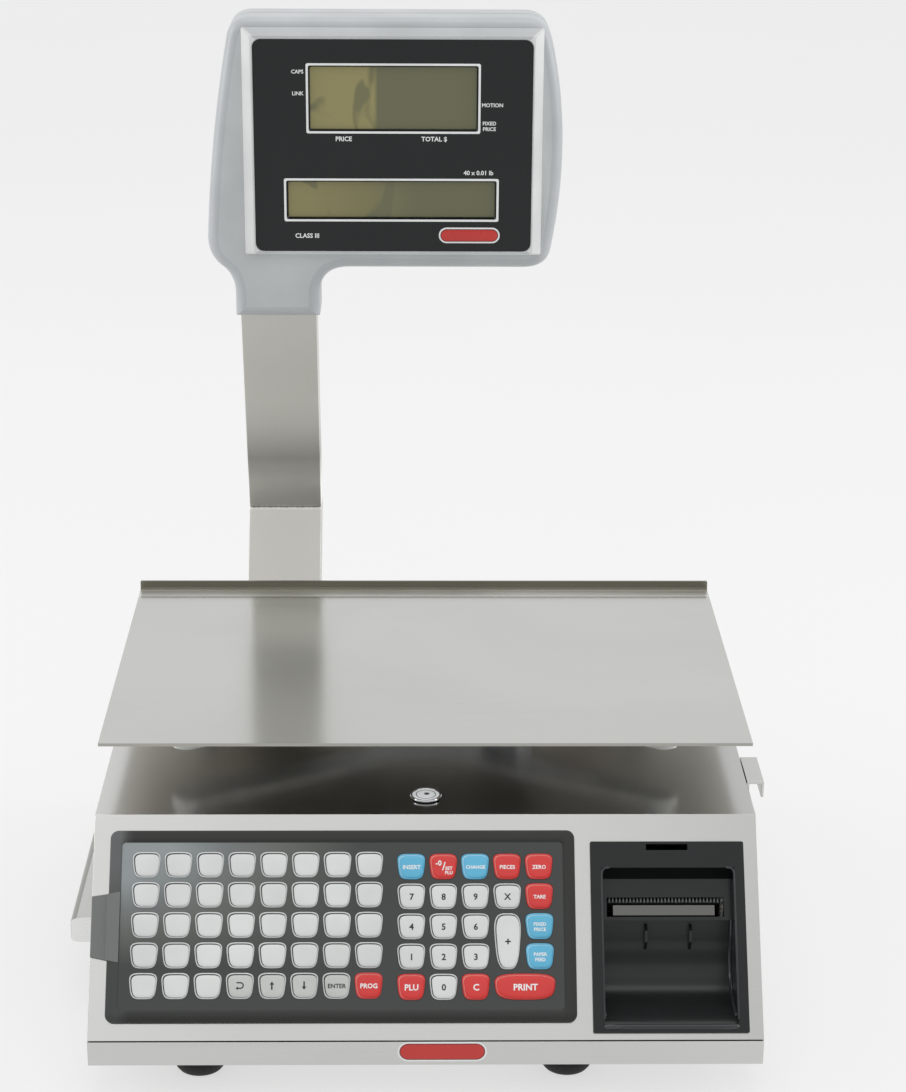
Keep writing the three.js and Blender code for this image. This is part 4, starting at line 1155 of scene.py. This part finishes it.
def pole_seam():
    """The thin weld line across the front of the pole at its bend."""
    sketch = Sketch()
    rings = []
    count = 40  # spans along the line
    for i in range(count + 1):
        x = POLE["middle"] - POLE["half"] + 2 * POLE["half"] * i / count
        size = 0.4 + 0.09 * math.sin(i * 1.9) + 0.05 * math.sin(i * 0.7)
        rings.append([Vector((x, 182.7 + size * math.cos(a), 212.6 + 1.4 * size * math.sin(a)))
                      for a in (math.pi * k / 4 for k in range(8))])
    sketch.skin(rings)
    sketch.build("pole_seam", "housing", [platter_edge], "bright_steel")


pole_seam()


def rating_plate():
    """A blank plate on the back, where the real scale carries its ratings."""
    sketch = Sketch()
    matrix = axes((-10.0, BACK, 50.0), (-1, 0, 0), (0, 0, 1))
    edge = rounded(-30, 30, -11, 11, 2)
    sketch.skin([lifted(edge, 0), lifted(edge, 0.3), lifted(rounded(-29.7, 29.7, -10.7, 10.7, 1.8), 0.4)])
    sketch.build("rating_plate", "housing", [aluminium], "cast_aluminium", matrix)


rating_plate()


# ---- stage, light and camera ----

BACKGROUND = srgb(241, 241, 241)


def floor():
    """A pale floor that glows a little, so that it meets the room without a line in the photo's view."""
    half = 12.0  # metres
    look = Look("pale_floor", (0.26, 0.26, 0.26), 0.9, Specular_IOR_Level=0.0)
    look.tint(look.noise(2.0), 0.01)
    look.shade(Emission_Color=(1, 1, 1, 1), Emission_Strength=0.62)
    mesh = bpy.data.meshes.new("floor")
    mesh.from_pydata([(-half, -half, 0), (half, -half, 0), (half, half, 0), (-half, half, 0)], [], [(0, 1, 2, 3)])
    mesh.materials.append(look.material)
    plane = in_scene("floor", mesh)


def surroundings():
    """An even white room that is darker low down on the operator's side."""
    world = bpy.data.worlds.new("soft_white_room")
    world.use_nodes = True
    tree = world.node_tree
    split = add_node(tree, "SeparateXYZ", Vector=add_node(tree, "TexCoord").outputs["Generated"])
    both = add_node(tree, "Math")
    both.operation = "MULTIPLY"
    for number, (axis, start, end) in enumerate((("Y", -0.3, -0.75), ("Z", 0.68, 0.45))):
        share = add_node(tree, "MapRange", Value=split.outputs[axis], From_Min=start, From_Max=end)
        tree.links.new(share.outputs["Result"], both.inputs[number])
    strength = add_node(tree, "MapRange", Value=both.outputs[0], To_Min=1.0, To_Max=0.55).outputs["Result"]
    set_inputs(tree, tree.nodes["Background"], {"Color": (*BACKGROUND, 1), "Strength": strength})
    bpy.context.scene.world = world


def softbox(name, location, target, width, height, radiance):
    """An area light of the given radiance, aimed at a point."""
    light = bpy.data.lights.new(name, "AREA")
    light.shape = "RECTANGLE"
    light.size = width
    light.size_y = height
    light.energy = radiance * width * height * math.pi
    lamp = in_scene(name, light)
    lamp.location = location
    lamp.rotation_euler = (Vector(target) - Vector(location)).to_track_quat("-Z", "Y").to_euler()


CAMERA_PLACE = Vector((-7.61, -1448.6, 784.4))
CAMERA_LENS = 83.78
PITCH, YAW, ROLL = (math.radians(a) for a in (20.204, 0.963, -0.373))


def camera():
    """The photo's camera, from its working place and its three angles."""
    forward = Vector((math.sin(YAW) * math.cos(PITCH), math.cos(YAW) * math.cos(PITCH), -math.sin(PITCH)))
    level = Vector((math.cos(YAW), -math.sin(YAW), 0))
    down = forward.cross(level)
    right = level * math.cos(ROLL) + down * math.sin(ROLL)
    down = down * math.cos(ROLL) - level * math.sin(ROLL)
    data = bpy.data.cameras.new("camera")
    data.lens = CAMERA_LENS
    data.sensor_width = 36.0
    shot = in_scene("camera", data)
    basis = Matrix((right, -down, -forward)).transposed().to_4x4()
    shot.matrix_world = Matrix.Translation(PLACE @ CAMERA_PLACE) @ basis
    bpy.context.scene.camera = shot


floor()
surroundings()
softbox("overhead_front", (0.0, -1.75, 2.15), (0, -0.1, 0.1), 2.4, 1.8, 0.15)
softbox("overhead", (0.0, 0.5, 2.8), (0, 0, 0.2), 1.6, 1.2, 1.6)
softbox("left", (-1.9, 0.1, 0.9), (0, 0.1, 0.4), 1.0, 1.3, 2.6)
softbox("right", (1.9, 0.1, 0.9), (0, 0.1, 0.4), 1.0, 1.3, 2.6)
camera()
bpy.context.scene.view_settings.view_transform = "Standard"
